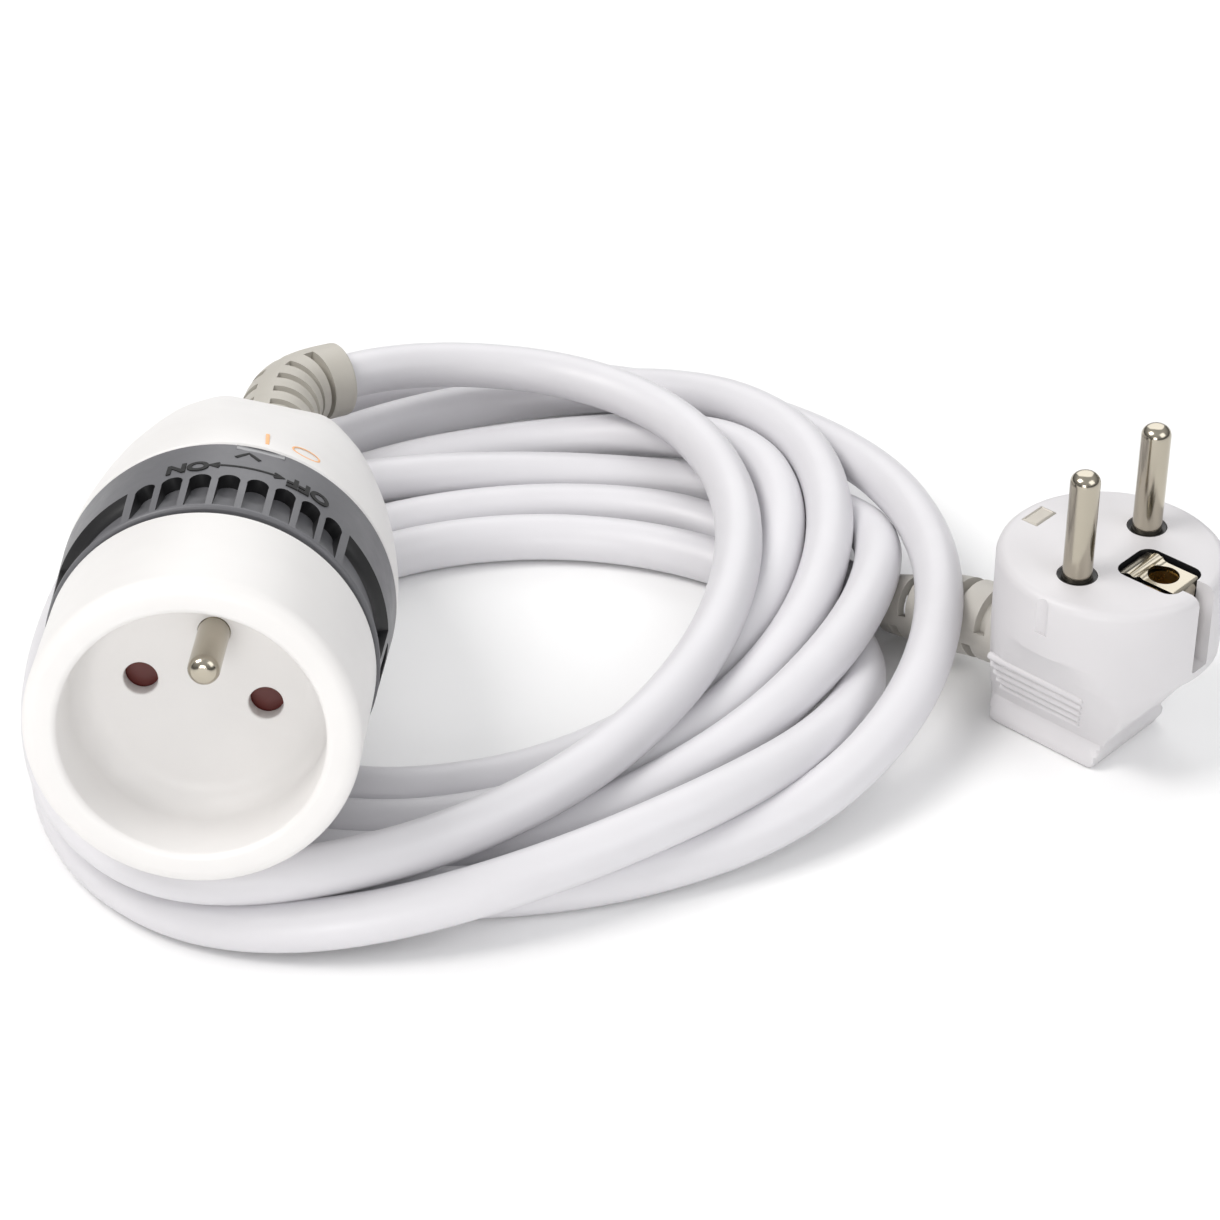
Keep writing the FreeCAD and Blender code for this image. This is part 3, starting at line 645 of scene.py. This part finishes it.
def buildRearShell(look):
    sections = look["sections"]
    clearPick()
    bpy.ops.mesh.primitive_circle_add(vertices=look["sides"], radius=26 * mm, rotation=(turn(90), 0, 0),
                                      location=(0, sections[0][0] * mm, 0))
    shell = bpy.context.object
    shell.name = "rearShell"
    bpy.ops.object.transform_apply(location=True, rotation=True, scale=True)
    pick(shell, "edge", lambda a, b: True)
    for before, after in zip(sections, sections[1:]):
        step = (after[0] - before[0]) * mm
        bpy.ops.mesh.extrude_region_move(TRANSFORM_OT_translate={"value": (0, step, 0)})
    bpy.ops.object.mode_set(mode="OBJECT")
    for vertex in shell.data.vertices:
        along = vertex.co.y / mm
        distance, half, corner = min(sections, key=lambda section: abs(section[0] - along))
        x, z = roundSquare(math.atan2(vertex.co.z, vertex.co.x), half, corner)
        vertex.co.x, vertex.co.z = x * mm, z * mm
    # close the tail down to the round outlet
    last = sections[-1][0]
    pick(shell, "edge", lambda a, b: all(v.y > (last - 0.1) * mm for v in (a, b)))
    bpy.ops.mesh.extrude_region_move(TRANSFORM_OT_translate={"value": (0, 0.001 * mm, 0)})
    bpy.ops.object.mode_set(mode="OBJECT")
    for vertex in shell.data.vertices:
        if vertex.co.y > (last + 0.0005) * mm:
            angle = math.atan2(vertex.co.z, vertex.co.x)
            outlet = look["outletRadius"]
            vertex.co = Vector((outlet * math.cos(angle), last, outlet * math.sin(angle))) * mm
    tidyMesh(shell)
    wall = shell.modifiers.new("wall", "SOLIDIFY")
    wall.thickness = look["wall"] * mm
    wall.offset = -1
    wall.use_even_offset = True
    bpy.ops.object.modifier_apply(modifier=wall.name)
    # the spigot that the ring turns on, and its flange
    bore, tube, flange = look["spigotBore"], look["spigotRadius"], look["flangeRadius"]
    front, rim, rear = look["spigotStart"], look["flangeStart"], look["flangeEnd"]
    spigot = spunPiece("spigot", [(bore, front, 0), (tube, front, 0.3), (tube, rim, 0), (flange, rim, 0),
                                  (flange, rear, 0), (bore, rear, 0), (bore, front, 0)], steps=128)
    return joined([shell, spigot], "rearShell")


positionLook = dict(radius=26.62, thick=0.10, barAt=(3.0, 51.0), barLean=0.15, barHalf=1.9, barStroke=0.62,
                    ringAt=(16.9, 50.9), ringHalf=(2.3, 1.35), ringStroke=0.36)


def buildPositionMarks(look):
    # thin orange bar and ring, printed just behind the switch ring
    lean, tall = look["barLean"], look["barHalf"]
    bar = strokePiece("bar", [(lean, -tall), (-lean, tall)], look["barStroke"], look["thick"])
    wrapOnRing(bar, *look["barAt"], look["radius"], 0.0)
    wide, high = look["ringHalf"]
    spots = [(wide * math.cos(turn(15 * k)), high * math.sin(turn(15 * k))) for k in range(25)]
    loop = strokePiece("loop", spots, look["ringStroke"], look["thick"])
    wrapOnRing(loop, *look["ringAt"], look["radius"], 0.0)
    return setDown(joined([bar, loop], "positionMarks"), headPlace, "orangeInk", "orange_print", "base",
                   "position_marks")


setDown(buildRearShell(shellLook), headPlace, "headPlastic", "head_plastic", "base", "rear_shell", smooth=40)
buildPositionMarks(positionLook)
print("rear shell built")


headBootLook = dict(path=[(1.7, 94.0, -15.4), (1.9, 101.5, -16.6), (2.1, 109.0, -17.8), (2.2, 116.5, -19.0),
                          (2.4, 124.0, -20.1), (3.6, 130.5, -21.1), (7.0, 135.6, -21.9),
                          (12.0, 139.2, -22.5)],
                    length=49.6, baseRadius=7.0, endRadius=6.7, bore=4.2, ringStep=1.2,
                    slots=14, firstSlot=6.0, lastSlot=45.5, slotWidth=2.1, slotDepth=2.1,
                    slotSpan=138, slotTurn=16)
plugBootLook = dict(length=26.8, baseRadius=6.6, endRadius=5.0, bore=4.2, ringStep=1.2,
                    drop=[0.0, -0.4, -1.2, -2.4, -3.8, -5.2, -6.4], leaves=(17.3, -24.0), reach=26,
                    slots=8, firstSlot=3.0, lastSlot=22.6, slotWidth=1.7, slotDepth=1.7,
                    slotSpan=140, slotTurn=90)


def buildBoot(name, look, path):
    # straight ribbed sleeve with staggered slots, then bent along the cord's path
    length = look["length"]
    sleeve = spunPiece(name, [
        (look["bore"], 0, 0), (look["baseRadius"], 0, 0.4), (look["baseRadius"], length * 0.5, 0),
        (look["endRadius"], length, 1.0), (look["bore"] + 0.05, length, 0.25), (look["bore"], 0, 0)],
        steps=72, along="Z")
    # rings across the sleeve let it bend evenly
    for k in range(1, int(length / look["ringStep"])):
        pick(sleeve, "vertex", lambda co: True)
        bpy.ops.mesh.bisect(plane_co=(0, 0, k * look["ringStep"] * mm), plane_no=(0, 0, 1))
    bpy.ops.object.mode_set(mode="OBJECT")
    tools = []
    for i in range(look["slots"]):
        middle = look["firstSlot"] + (look["lastSlot"] - look["firstSlot"]) * i / (look["slots"] - 1)
        half = look["slotWidth"] / 2
        floor = look["baseRadius"] - look["slotDepth"]
        if middle > length * 0.5:
            floor -= (look["baseRadius"] - look["endRadius"]) * (middle / length - 0.5) * 2
        slot = spunPiece("slot", [(floor, middle - half, 0), (12, middle - half - 0.4, 0),
                                  (12, middle + half + 0.4, 0), (floor, middle + half, 0),
                                  (floor, middle - half, 0)], steps=72, along="Z")
        wedge = blockPiece("wedge", (0, -30, -5), (30, 30, length + 5))
        spread = math.tan(turn(look["slotSpan"] / 2))
        for vertex in wedge.data.vertices:
            vertex.co.y = (1 if vertex.co.y > 0 else -1) * max(vertex.co.x, 1.0 * mm) * spread
        carve(slot, [wedge], "INTERSECT")
        tools.append(swing(slot, 180 * (i % 2) + look["slotTurn"], "Z"))
    carve(sleeve, [joined(tools, "slots")])
    # bend the sleeve along the path
    spots = [Vector(p) * mm for p in path]
    steps = [0.0]
    for a, b in zip(spots, spots[1:]):
        steps.append(steps[-1] + (b - a).length)
    total = steps[-1]

    def onPath(distance):
        distance = min(max(distance, 0.0), total)
        k = max(i for i in range(len(steps) - 1) if steps[i] <= distance)
        share = (distance - steps[k]) / (steps[k + 1] - steps[k])
        p0, p1, p2, p3 = (spots[min(max(k + j, 0), len(spots) - 1)] for j in (-1, 0, 1, 2))
        spot = 0.5 * (2 * p1 + (p2 - p0) * share + (2 * p0 - 5 * p1 + 4 * p2 - p3) * share ** 2
                      + (3 * p1 - p0 - 3 * p2 + p3) * share ** 3)
        return spot

    for vertex in sleeve.data.vertices:
        distance = vertex.co.z / length / mm * total
        spot = onPath(distance)
        ahead = (onPath(distance + 1.5 * mm) - onPath(distance - 1.5 * mm)).normalized()
        side = ahead.cross(Vector((0, 0, 1))).normalized()
        up = side.cross(ahead)
        vertex.co = spot + side * vertex.co.x + up * vertex.co.y
    return sleeve


setDown(buildBoot("headStrainRelief", headBootLook, headBootLook["path"]), Matrix.Identity(4), "headBoot",
        "head_boot", "base", "head_strain_relief", smooth=32)
plugPath = []
for i, fall in enumerate(plugBootLook["drop"]):
    out, height = plugBootLook["leaves"]
    share = i / (len(plugBootLook["drop"]) - 1)
    plugPath.append(plugPlace @ (Vector((0, out + plugBootLook["reach"] * share, height + fall)) * mm) / mm)
setDown(buildBoot("plugStrainRelief", plugBootLook, plugPath), Matrix.Identity(4), "plugBoot", "plug_boot",
        "base", "plug_strain_relief", smooth=32)
print("strain reliefs built")


# a section is its height under the top face, drum radius, half width between the grip faces, front and rear;
# 40 stands for a face that is out of reach there
plugLook = dict(sides=160, sharpness=2.6, middle=4.0, sections=[
    (0.0, 16.9, 40, -40, 40), (-0.25, 17.7, 40, -40, 40), (-0.8, 18.25, 40, -40, 40),
    (-1.6, 18.5, 40, -40, 40), (-7.0, 18.5, 40, -40, 40), (-10.4, 18.5, 22, -36, 30),
    (-11.0, 18.5, 18.9, -32, 28),
    (-11.4, 18.5, 17.9, -30, 27), (-11.8, 18.5, 17.5, -29, 26), (-15.2, 18.5, 16.0, -23, 24),
    (-15.9, 18.45, 15.7, -19.6, 22), (-16.3, 18.4, 15.5, -18.0, 20), (-16.7, 18.4, 15.3, -17.4, 19),
    (-20.0, 18.3, 13.9, -15.0, 18.2), (-24.0, 18.1, 12.0, -12.0, 17.6), (-28.0, 17.9, 9.9, -9.2, 17.1),
    (-30.2, 17.8, 8.7, -7.8, 16.8),
    (-31.2, 17.7, 8.4, -7.2, 16.7), (-32.0, 17.7, 8.8, -7.0, 16.7), (-33.0, 17.7, 9.7, -6.9, 16.8),
    (-34.4, 17.7, 9.9, -6.6, 16.8), (-35.6, 17.6, 9.5, -6.0, 16.6), (-36.0, 17.2, 8.9, -5.4, 16.0)],
    ribs=5, ribTop=-18.2, ribBottom=-28.6, ribRadius=0.66, ribFront=-6.4, ribShift=0.75,
    ribRear=12.6, ribSink=0.15, notchRadius=1.7, notchOut=19.7, notchDepth=7.0, pins=9.5, collarSeat=3.3,
    # low corner, high corner, bevel, bevel segments
    seats=[("earthSlot", (-4.7, -15.0, -13.0), (4.7, -3.3, 5), 2.3, 5),
           ("earthGroove", (-2.0, -22.0, -14.5), (2.0, -13.6, 2), 0.4, 2),
           ("clipSeat", (-2.72, 13.03, -3.0), (2.72, 16.17, 2), 0.1, 2)])


def plugOutline(angle, look, radius, half, front, rear):
    # where a ray from the middle leaves both the drum and the grip faces; the corner between them is eased
    c, s = math.cos(angle), math.sin(angle)
    middle = look["middle"]
    drum = -middle * s + math.sqrt(max(radius ** 2 - (middle * c) ** 2, 0))
    faces = [drum, half / max(abs(c), 1e-6)]
    faces.append((rear - middle) / s if s > 1e-6 else (middle - front) / max(-s, 1e-6))
    least = min(faces)
    sharp = look["sharpness"]
    reach = least - math.log(sum(math.exp(-sharp * (one - least)) for one in faces)) / sharp
    return c * reach, middle + s * reach


def buildPlugBody(look):
    sections = look["sections"]
    clearPick()
    bpy.ops.mesh.primitive_circle_add(vertices=look["sides"], radius=18 * mm, fill_type="NGON")
    body = bpy.context.object
    body.name = "plugBody"
    pick(body, "face", lambda centre, normal: True)
    for before, after in zip(sections, sections[1:]):
        step = (after[0] - before[0]) * mm
        bpy.ops.mesh.extrude_region_move(TRANSFORM_OT_translate={"value": (0, 0, step)})
    bpy.ops.object.mode_set(mode="OBJECT")
    for vertex in body.data.vertices:
        height = vertex.co.z / mm
        section = min(sections, key=lambda one: abs(one[0] - height))
        x, y = plugOutline(math.atan2(vertex.co.y, vertex.co.x), look, *section[1:])
        vertex.co.x, vertex.co.y = x * mm, y * mm
    # close the top
    pick(body, "edge", lambda a, b: all(v.z > -0.01 * mm for v in (a, b)))
    bpy.ops.mesh.edge_face_add()
    tidyMesh(body)
    cutters = [rodPiece("notch", look["notchRadius"], -look["notchDepth"], 2, (side * look["notchOut"], 0),
                        along="Z", sides=40) for side in (-1, 1)]
    cutters += [blockPiece(*seat) for seat in look["seats"]]
    cutters += [rodPiece("collarSeat", look["collarSeat"], -4.0, 2, (side * look["pins"], 0),
                         along="Z", sides=48) for side in (-1, 1)]
    for cutter in cutters:
        carve(body, [cutter])
    # ribs across both grip faces
    ribs = []
    for side in (-1, 1):
        for i in range(look["ribs"]):
            share = (i + 0.5) / look["ribs"]
            height = look["ribTop"] + (look["ribBottom"] - look["ribTop"]) * share
            upper = max((one for one in sections if one[0] >= height), key=lambda one: -one[0])
            lower = min((one for one in sections if one[0] < height), key=lambda one: -one[0])
            part = (upper[0] - height) / (upper[0] - lower[0])
            half = upper[2] + (lower[2] - upper[2]) * part
            rib = rodPiece("rib", look["ribRadius"], look["ribFront"] + look["ribShift"] * i, look["ribRear"],
                           (side * (half - look["ribSink"]), height), sides=20)
            softenEdges(rib, 0.35)
            ribs.append(rib)
    carve(body, ribs, "UNION")
    return body


def paintSlotShade(body):
    # painted shade: the walls inside the earth slot are painted black for the shade in it
    body.data.materials.append(materials["blackPlasticAndShade"])
    back = plugPlace.inverted()
    for face in body.data.polygons:
        centre = back @ face.center / mm
        if abs(centre.x) < 4.8 and -15.1 < centre.y < -3.2 and -13.2 < centre.z < -0.12:
            # this face lies in the slot: painted shade
            face.material_index = 1


plugBody = setDown(buildPlugBody(plugLook), plugPlace, "plugPlastic", "plug_plastic", "base", "plug_body",
                   smooth=38)
# paint shade into the plug's earth slot
paintSlotShade(plugBody)
print("plug body built")

plugMetalLook = dict(pins=9.5, radius=2.4, length=19.0, tip=1.75, root=-9.5, rootRadius=2.42, step=-0.9,
                     collar=3.26, collarBore=2.45, collarFoot=-4.2, sink=-0.5)
stripLook = dict(half=3.3, tab=0.6, tabEnd=3.4, start=-4.1, bend=-14.3, leg=12.4, height=-0.62, sheet=0.6,
                 corner=0.35, hole=2.55, holeAt=-10.0,
                 waves=[(0.42, 1.9, 0.62), (0.30, 3.4, 0.5), (-0.25, 0.0, 0.5)])  # rise, place, width
clipLook = dict(low=(-2.7, 13.05, -2.0), high=(2.7, 16.15, 0.06), bevel=0.12, inset=0.35, rise=0.02)


def buildPlugPin(name, node, side, look):
    pin = spunPiece(name, [
        (0, look["length"], 0), (look["radius"], look["length"], look["tip"]), (look["radius"], 0.0, 0),
        (look["rootRadius"], 0.0, 0), (look["rootRadius"], look["root"], 0), (0, look["root"], 0)],
        steps=64, middle=(side * look["pins"], 0), along="Z")
    # the step to the root lies under the plug's face
    for vertex in pin.data.vertices:
        if abs(vertex.co.z) < 0.001 * mm:
            vertex.co.z = look["step"] * mm
    return setDown(pin, plugPlace, "nickelPlate", "nickel", "base", node)


def buildPinBridge(look):
    bar = blockPiece("pinBridge", (-13, -3.3, -6.5), (13, 4.5, -4.1), 0.4, 2)
    bore, foot = look["collarBore"], look["collarFoot"]
    collars = []
    for side in (-1, 1):
        collars.append(spunPiece("collar", [
            (bore, foot, 0), (look["collar"], foot, 0), (look["collar"], look["sink"] + 0.42, 0.15),
            (bore, look["sink"] + 0.1, 0), (bore, foot, 0)],
            steps=64, middle=(side * look["pins"], 0), along="Z"))
    return setDown(joined([bar] + collars, "pinBridge"), plugPlace, "blackPlasticAndShade", "carrier_plastic", "base",
                   "pin_bridge")


def buildEarthStrip(look):
    # sheet with a wave by the pins, a hole over the earth tube and a leg in the side groove
    clearPick()
    bpy.ops.mesh.primitive_grid_add(x_subdivisions=16, y_subdivisions=52, size=1, location=(0, 0, 0))
    strip = bpy.context.object
    strip.name = "earthStrip"
    flat = look["start"] - look["bend"]
    run = flat + look["leg"]
    corner = look["corner"]
    for vertex in strip.data.vertices:
        along = (0.5 - vertex.co.y) * run
        x = vertex.co.x * 2 * (look["half"] + (look["tab"] if along < look["tabEnd"] else 0))
        if along < flat:
            wave = sum(rise * math.exp(-((along - place) / width) ** 2)
                       for rise, place, width in look["waves"])
            vertex.co = Vector((x, look["start"] - along, look["height"] + wave)) * mm
        else:
            # round the corner, and down the groove at half the width
            drop = along - flat
            curl = min(drop, 1.0)
            bow = math.sin(curl * math.pi / 2)
            vertex.co = Vector((x * (1 - 0.5 * min(drop / 1.2, 1)), look["bend"] - corner * bow,
                                look["height"] - drop + corner * (curl - bow * 0.9))) * mm
    tool = strip.modifiers.new("sheet", "SOLIDIFY")
    tool.thickness = look["sheet"] * mm
    tool.offset = 0
    bpy.ops.object.modifier_apply(modifier=tool.name)
    carve(strip, [rodPiece("earthHole", look["hole"], -4, 4, (0, look["holeAt"]), along="Z", sides=48)])
    return setDown(strip, plugPlace, "nickelPlate", "nickel", "base", "earth_strip", smooth=40)


def buildEarthClip(look):
    clip = blockPiece("earthClip", look["low"], look["high"], look["bevel"], 2)
    pick(clip, "face", lambda centre, normal: normal.z > 0.9)
    bpy.ops.mesh.inset(thickness=look["inset"] * mm, depth=look["rise"] * mm)
    bpy.ops.object.mode_set(mode="OBJECT")
    return setDown(clip, plugPlace, "satinNickel", "nickel", "base", "earth_clip")


livePin = buildPlugPin("livePin", "plug_pin_live", -1, plugMetalLook)
neutralPin = buildPlugPin("neutralPin", "plug_pin_neutral", 1, plugMetalLook)
pinBridge = buildPinBridge(plugMetalLook)
earthStrip = buildEarthStrip(stripLook)
earthClip = buildEarthClip(clipLook)
print("plug built")


# a turn is four corners, back, right, front and left: x, y, z, then fullness and lift of the quarter after it;
# millimetres from the middle of the coil's floor, so shifted to the rest
cordLook = dict(
    diameter=8.2, shift=(61.0, 64.7, -42.2), pointsPerQuarter=4,
    start=[(0.012, 0.1392, -0.0225), (0.0175, 0.1434, -0.0229)],
    turns=[
        [(-27, 87.5, 16.5, 2.2, 0), (25, 27, 14, 2, 0), (-52, -61.5, 12.6, 2, 2), (-89.5, -24, 18.5, 2.5, 0)],
        [(-24, 102, 4.1, 2.1, 0), (57, 8, 17.4, 2.0, -3), (-30, -54.5, 4.1, 2, 0), (-87.3, -3, 11.6, 2.1, 5)],
        [(-12, 66, 4.1, 2.5, -3.5), (47.5, 28, 12.6, 2, 2), (-34, -46, 4.1, 2, 0), (-83.3, 0, 4.1, 2.2, 0)],
        [(-12, 77, 4.1, 2.1, 3), (32.5, 40, 12, 2, -2), (-34, -31.5, 4.1, 2, 0), (-67.5, 1.5, 4.1, 2, 0)],
        [(-12, 47.7, 4.1, 2.2, 0), (45, 2, 4.1, 2, 5.5), (-44, -64.5, 7, 2, -1), (-91.2, -12, 4.1, 2.4, 0)],
        [(-8, 93, 4.1, 2.12, 3), (40, 36, 12.4, 2, 0), (-34, -38.5, 4.1, 2, 0), (-75.4, 0, 4.1, 2.1, 0)]],
    last=(-12, 57, 4.1, 2.0, 0),
    end=[(0.073, 0.1187, -0.0381), (0.087, 0.1082, -0.0381), (0.099, 0.0974, -0.0376),
         (0.1095, 0.0879, -0.0367)],
    rounds=240, spacing=8.8, samples=5, neighbours=20, endSamples=40, stiffness=0.025, holdSide=0.04,
    holdHeight=0.02, sag=0.02, reliefRadius=6.0,
    # the socket's radius along its axis, which the turns stay off
    headBack=[-8, -0.1, 0, 24, 24.8, 47.5, 54, 66, 80, 98, 104],
    headRadius=[0, 20, 25.3, 25.3, 25.7, 26.7, 26.5, 25.5, 21.5, 14.5, 0], headGap=0.4)


def coilPoints(look):
    corners = [(corner, i) for loop in look["turns"] for i, corner in enumerate(loop)] + [(look["last"], 0)]
    spots = []
    for (here, i), (there, j) in zip(corners, corners[1:]):
        x0, y0, z0, fullness, lift = here
        x1, y1, z1 = there[:3]
        for step in range(look["pointsPerQuarter"]):
            angle = step / look["pointsPerQuarter"] * math.pi / 2
            leaving = math.sin(angle) ** (2 / fullness)
            arriving = 1 - math.cos(angle) ** (2 / fullness)
            shareX, shareY = (leaving, arriving) if i % 2 == 0 else (arriving, leaving)
            height = z0 + (z1 - z0) * (0.5 - 0.5 * math.cos(2 * angle)) + lift * math.sin(2 * angle) ** 2
            spots.append((x0 + (x1 - x0) * shareX, y0 + (y1 - y0) * shareY, height))
    spots.append(look["last"][:3])
    return [Vector(spot) + Vector(look["shift"]) for spot in spots]


def settle(spots, look):
    # let crossing turns push each other apart, rest on the floor and stay clear of the socket
    points = np.array(spots, float)
    radius = look["diameter"] / 2
    lowest = floorHeight / mm + radius
    points[:, 2] = np.maximum(points[:, 2], lowest)
    first = points.copy()
    count = len(points)
    rows = []
    for i in range(1, count - 1):
        for t in np.arange(look["samples"]) / look["samples"]:
            row = np.zeros(count)
            row[i - 1:i + 2] = 0.5 * (1 - t) ** 2, 0.5 + t * (1 - t), 0.5 * t * t
            rows.append(row)
    blend = np.array(rows)
    weight = blend.sum(0)[:, None]
    order = np.arange(len(blend))
    apart = np.abs(order[:, None] - order[None, :]) > look["neighbours"]
    axis = np.array(headPlace.to_3x3() @ Vector((0, 1, 0)))
    boot = np.array([plugPath[1], plugPath[-1]])
    along = boot[1] - boot[0]
    for _ in range(look["rounds"]):
        line = blend @ points
        gap = line[:, None, :] - line[None, :, :]
        size = np.linalg.norm(gap, axis=2)
        near = apart & (size < look["spacing"]) & (size > 1e-6)
        force = np.where(near, (look["spacing"] - size) / np.maximum(size, 0.5), 0)
        push = (force[:, :, None] * gap).sum(1) * 0.3
        # the socket
        back = line @ axis
        away = line - np.outer(back, axis)
        far = np.linalg.norm(away, axis=1)
        room = np.interp(back, look["headBack"], look["headRadius"]) + radius + look["headGap"]
        inside = (far < room) & (back > look["headBack"][0]) & (back < look["headBack"][-2])
        push += np.where(inside[:, None], away / far[:, None] * (room - far)[:, None] * 0.5, 0)
        # the plug's strain relief
        share = np.clip(((line - boot[0]) @ along) / (along @ along), 0, 1)
        over = np.linalg.norm(line - boot[0] - share[:, None] * along, axis=1)
        need = look["reliefRadius"] + radius
        lifted = (over < need) & (order < len(order) - look["endSamples"])
        push[:, 2] += np.where(lifted, (need - over) * 0.4, 0)
        step = (blend.T @ push) / weight
        bendy = np.zeros_like(points)
        bendy[2:-2] = points[:-4] - 4 * points[1:-3] + 6 * points[2:-2] - 4 * points[3:-1] + points[4:]
        step -= look["stiffness"] * bendy
        step[:, :2] += look["holdSide"] * (first - points)[:, :2]
        step[:, 2] += look["holdHeight"] * (first - points)[:, 2] - look["sag"]
        step[:2] = 0
        step[-4:] = 0
        points += step
        points[:, 2] = np.maximum(points[:, 2], lowest)
    return [Vector(point) for point in points]


def buildCord(look):
    ends = [[Vector(p) / mm for p in look[side]] for side in ("start", "end")]
    spots = settle(ends[0] + coilPoints(look) + ends[1], look)
    curve = bpy.data.curves.new("cord", "CURVE")
    curve.dimensions = "3D"
    line = curve.splines.new("NURBS")
    line.points.add(len(spots) - 1)
    for point, spot in zip(line.points, spots):
        point.co = (*(spot * mm), 1)
    line.order_u = 3
    line.use_endpoint_u = True
    line.resolution_u = 8
    curve.bevel_depth = look["diameter"] / 2 * mm
    curve.bevel_resolution = 7
    curve.use_fill_caps = True
    cord = bpy.data.objects.new("cord", curve)
    bpy.context.collection.objects.link(cord)
    cord.data.materials.append(materials["cordSheath"])
    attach(cord, "base")
    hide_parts("cord_coil", "cord_lead_head", "cord_lead_plug")
    return cord


cord = buildCord(cordLook)
innerPlug = ["cord_end_in_plug", "earth_socket_tube", "pin_crimps", "plug_wire_live", "plug_wire_neutral"]
withCord = [plugBody, livePin, neutralPin, pinBridge, earthStrip, earthClip,
            bpy.data.objects["plugStrainRelief"], bpy.data.objects["headStrainRelief"]]
cadOf = {piece["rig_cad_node"]: piece for piece in bpy.context.scene.objects if "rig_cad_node" in piece}
withCord += [cadOf[node] for node in innerPlug]
print("cord laid")


nodeFinishes = dict(
    # these CAD nodes are already the right shape
    safety_shutter="shutterPlastic", shutter_spring="springSteel", contact_carrier="blackPlasticAndShade",
    live_contact="paleBrass", neutral_contact="paleBrass", ring_seal="blackPlasticAndShade",
    contact_rotor="blackPlasticAndShade", bridge_contacts="paleBrass", fixed_contacts="paleBrass",
    detent_ball="springSteel",
    detent_spring="springSteel", terminal_blocks="paleBrass", terminal_screws="springSteel",
    cord_clamp="springSteel", clamp_screws="springSteel", housing_screws="springSteel",
    cord_end_in_head="cordSheath", head_wire_earth="greenWire", head_wire_live="brownWire",
    head_wire_neutral="blueWire", earth_socket_tube="paleBrass", cord_end_in_plug="cordSheath",
    pin_crimps="paleBrass", plug_wire_live="brownWire", plug_wire_neutral="blueWire")
for node, finish in nodeFinishes.items():
    cadOf[node].data.materials.clear()
    cadOf[node].data.materials.append(materials[finish])
print("inner parts finished")
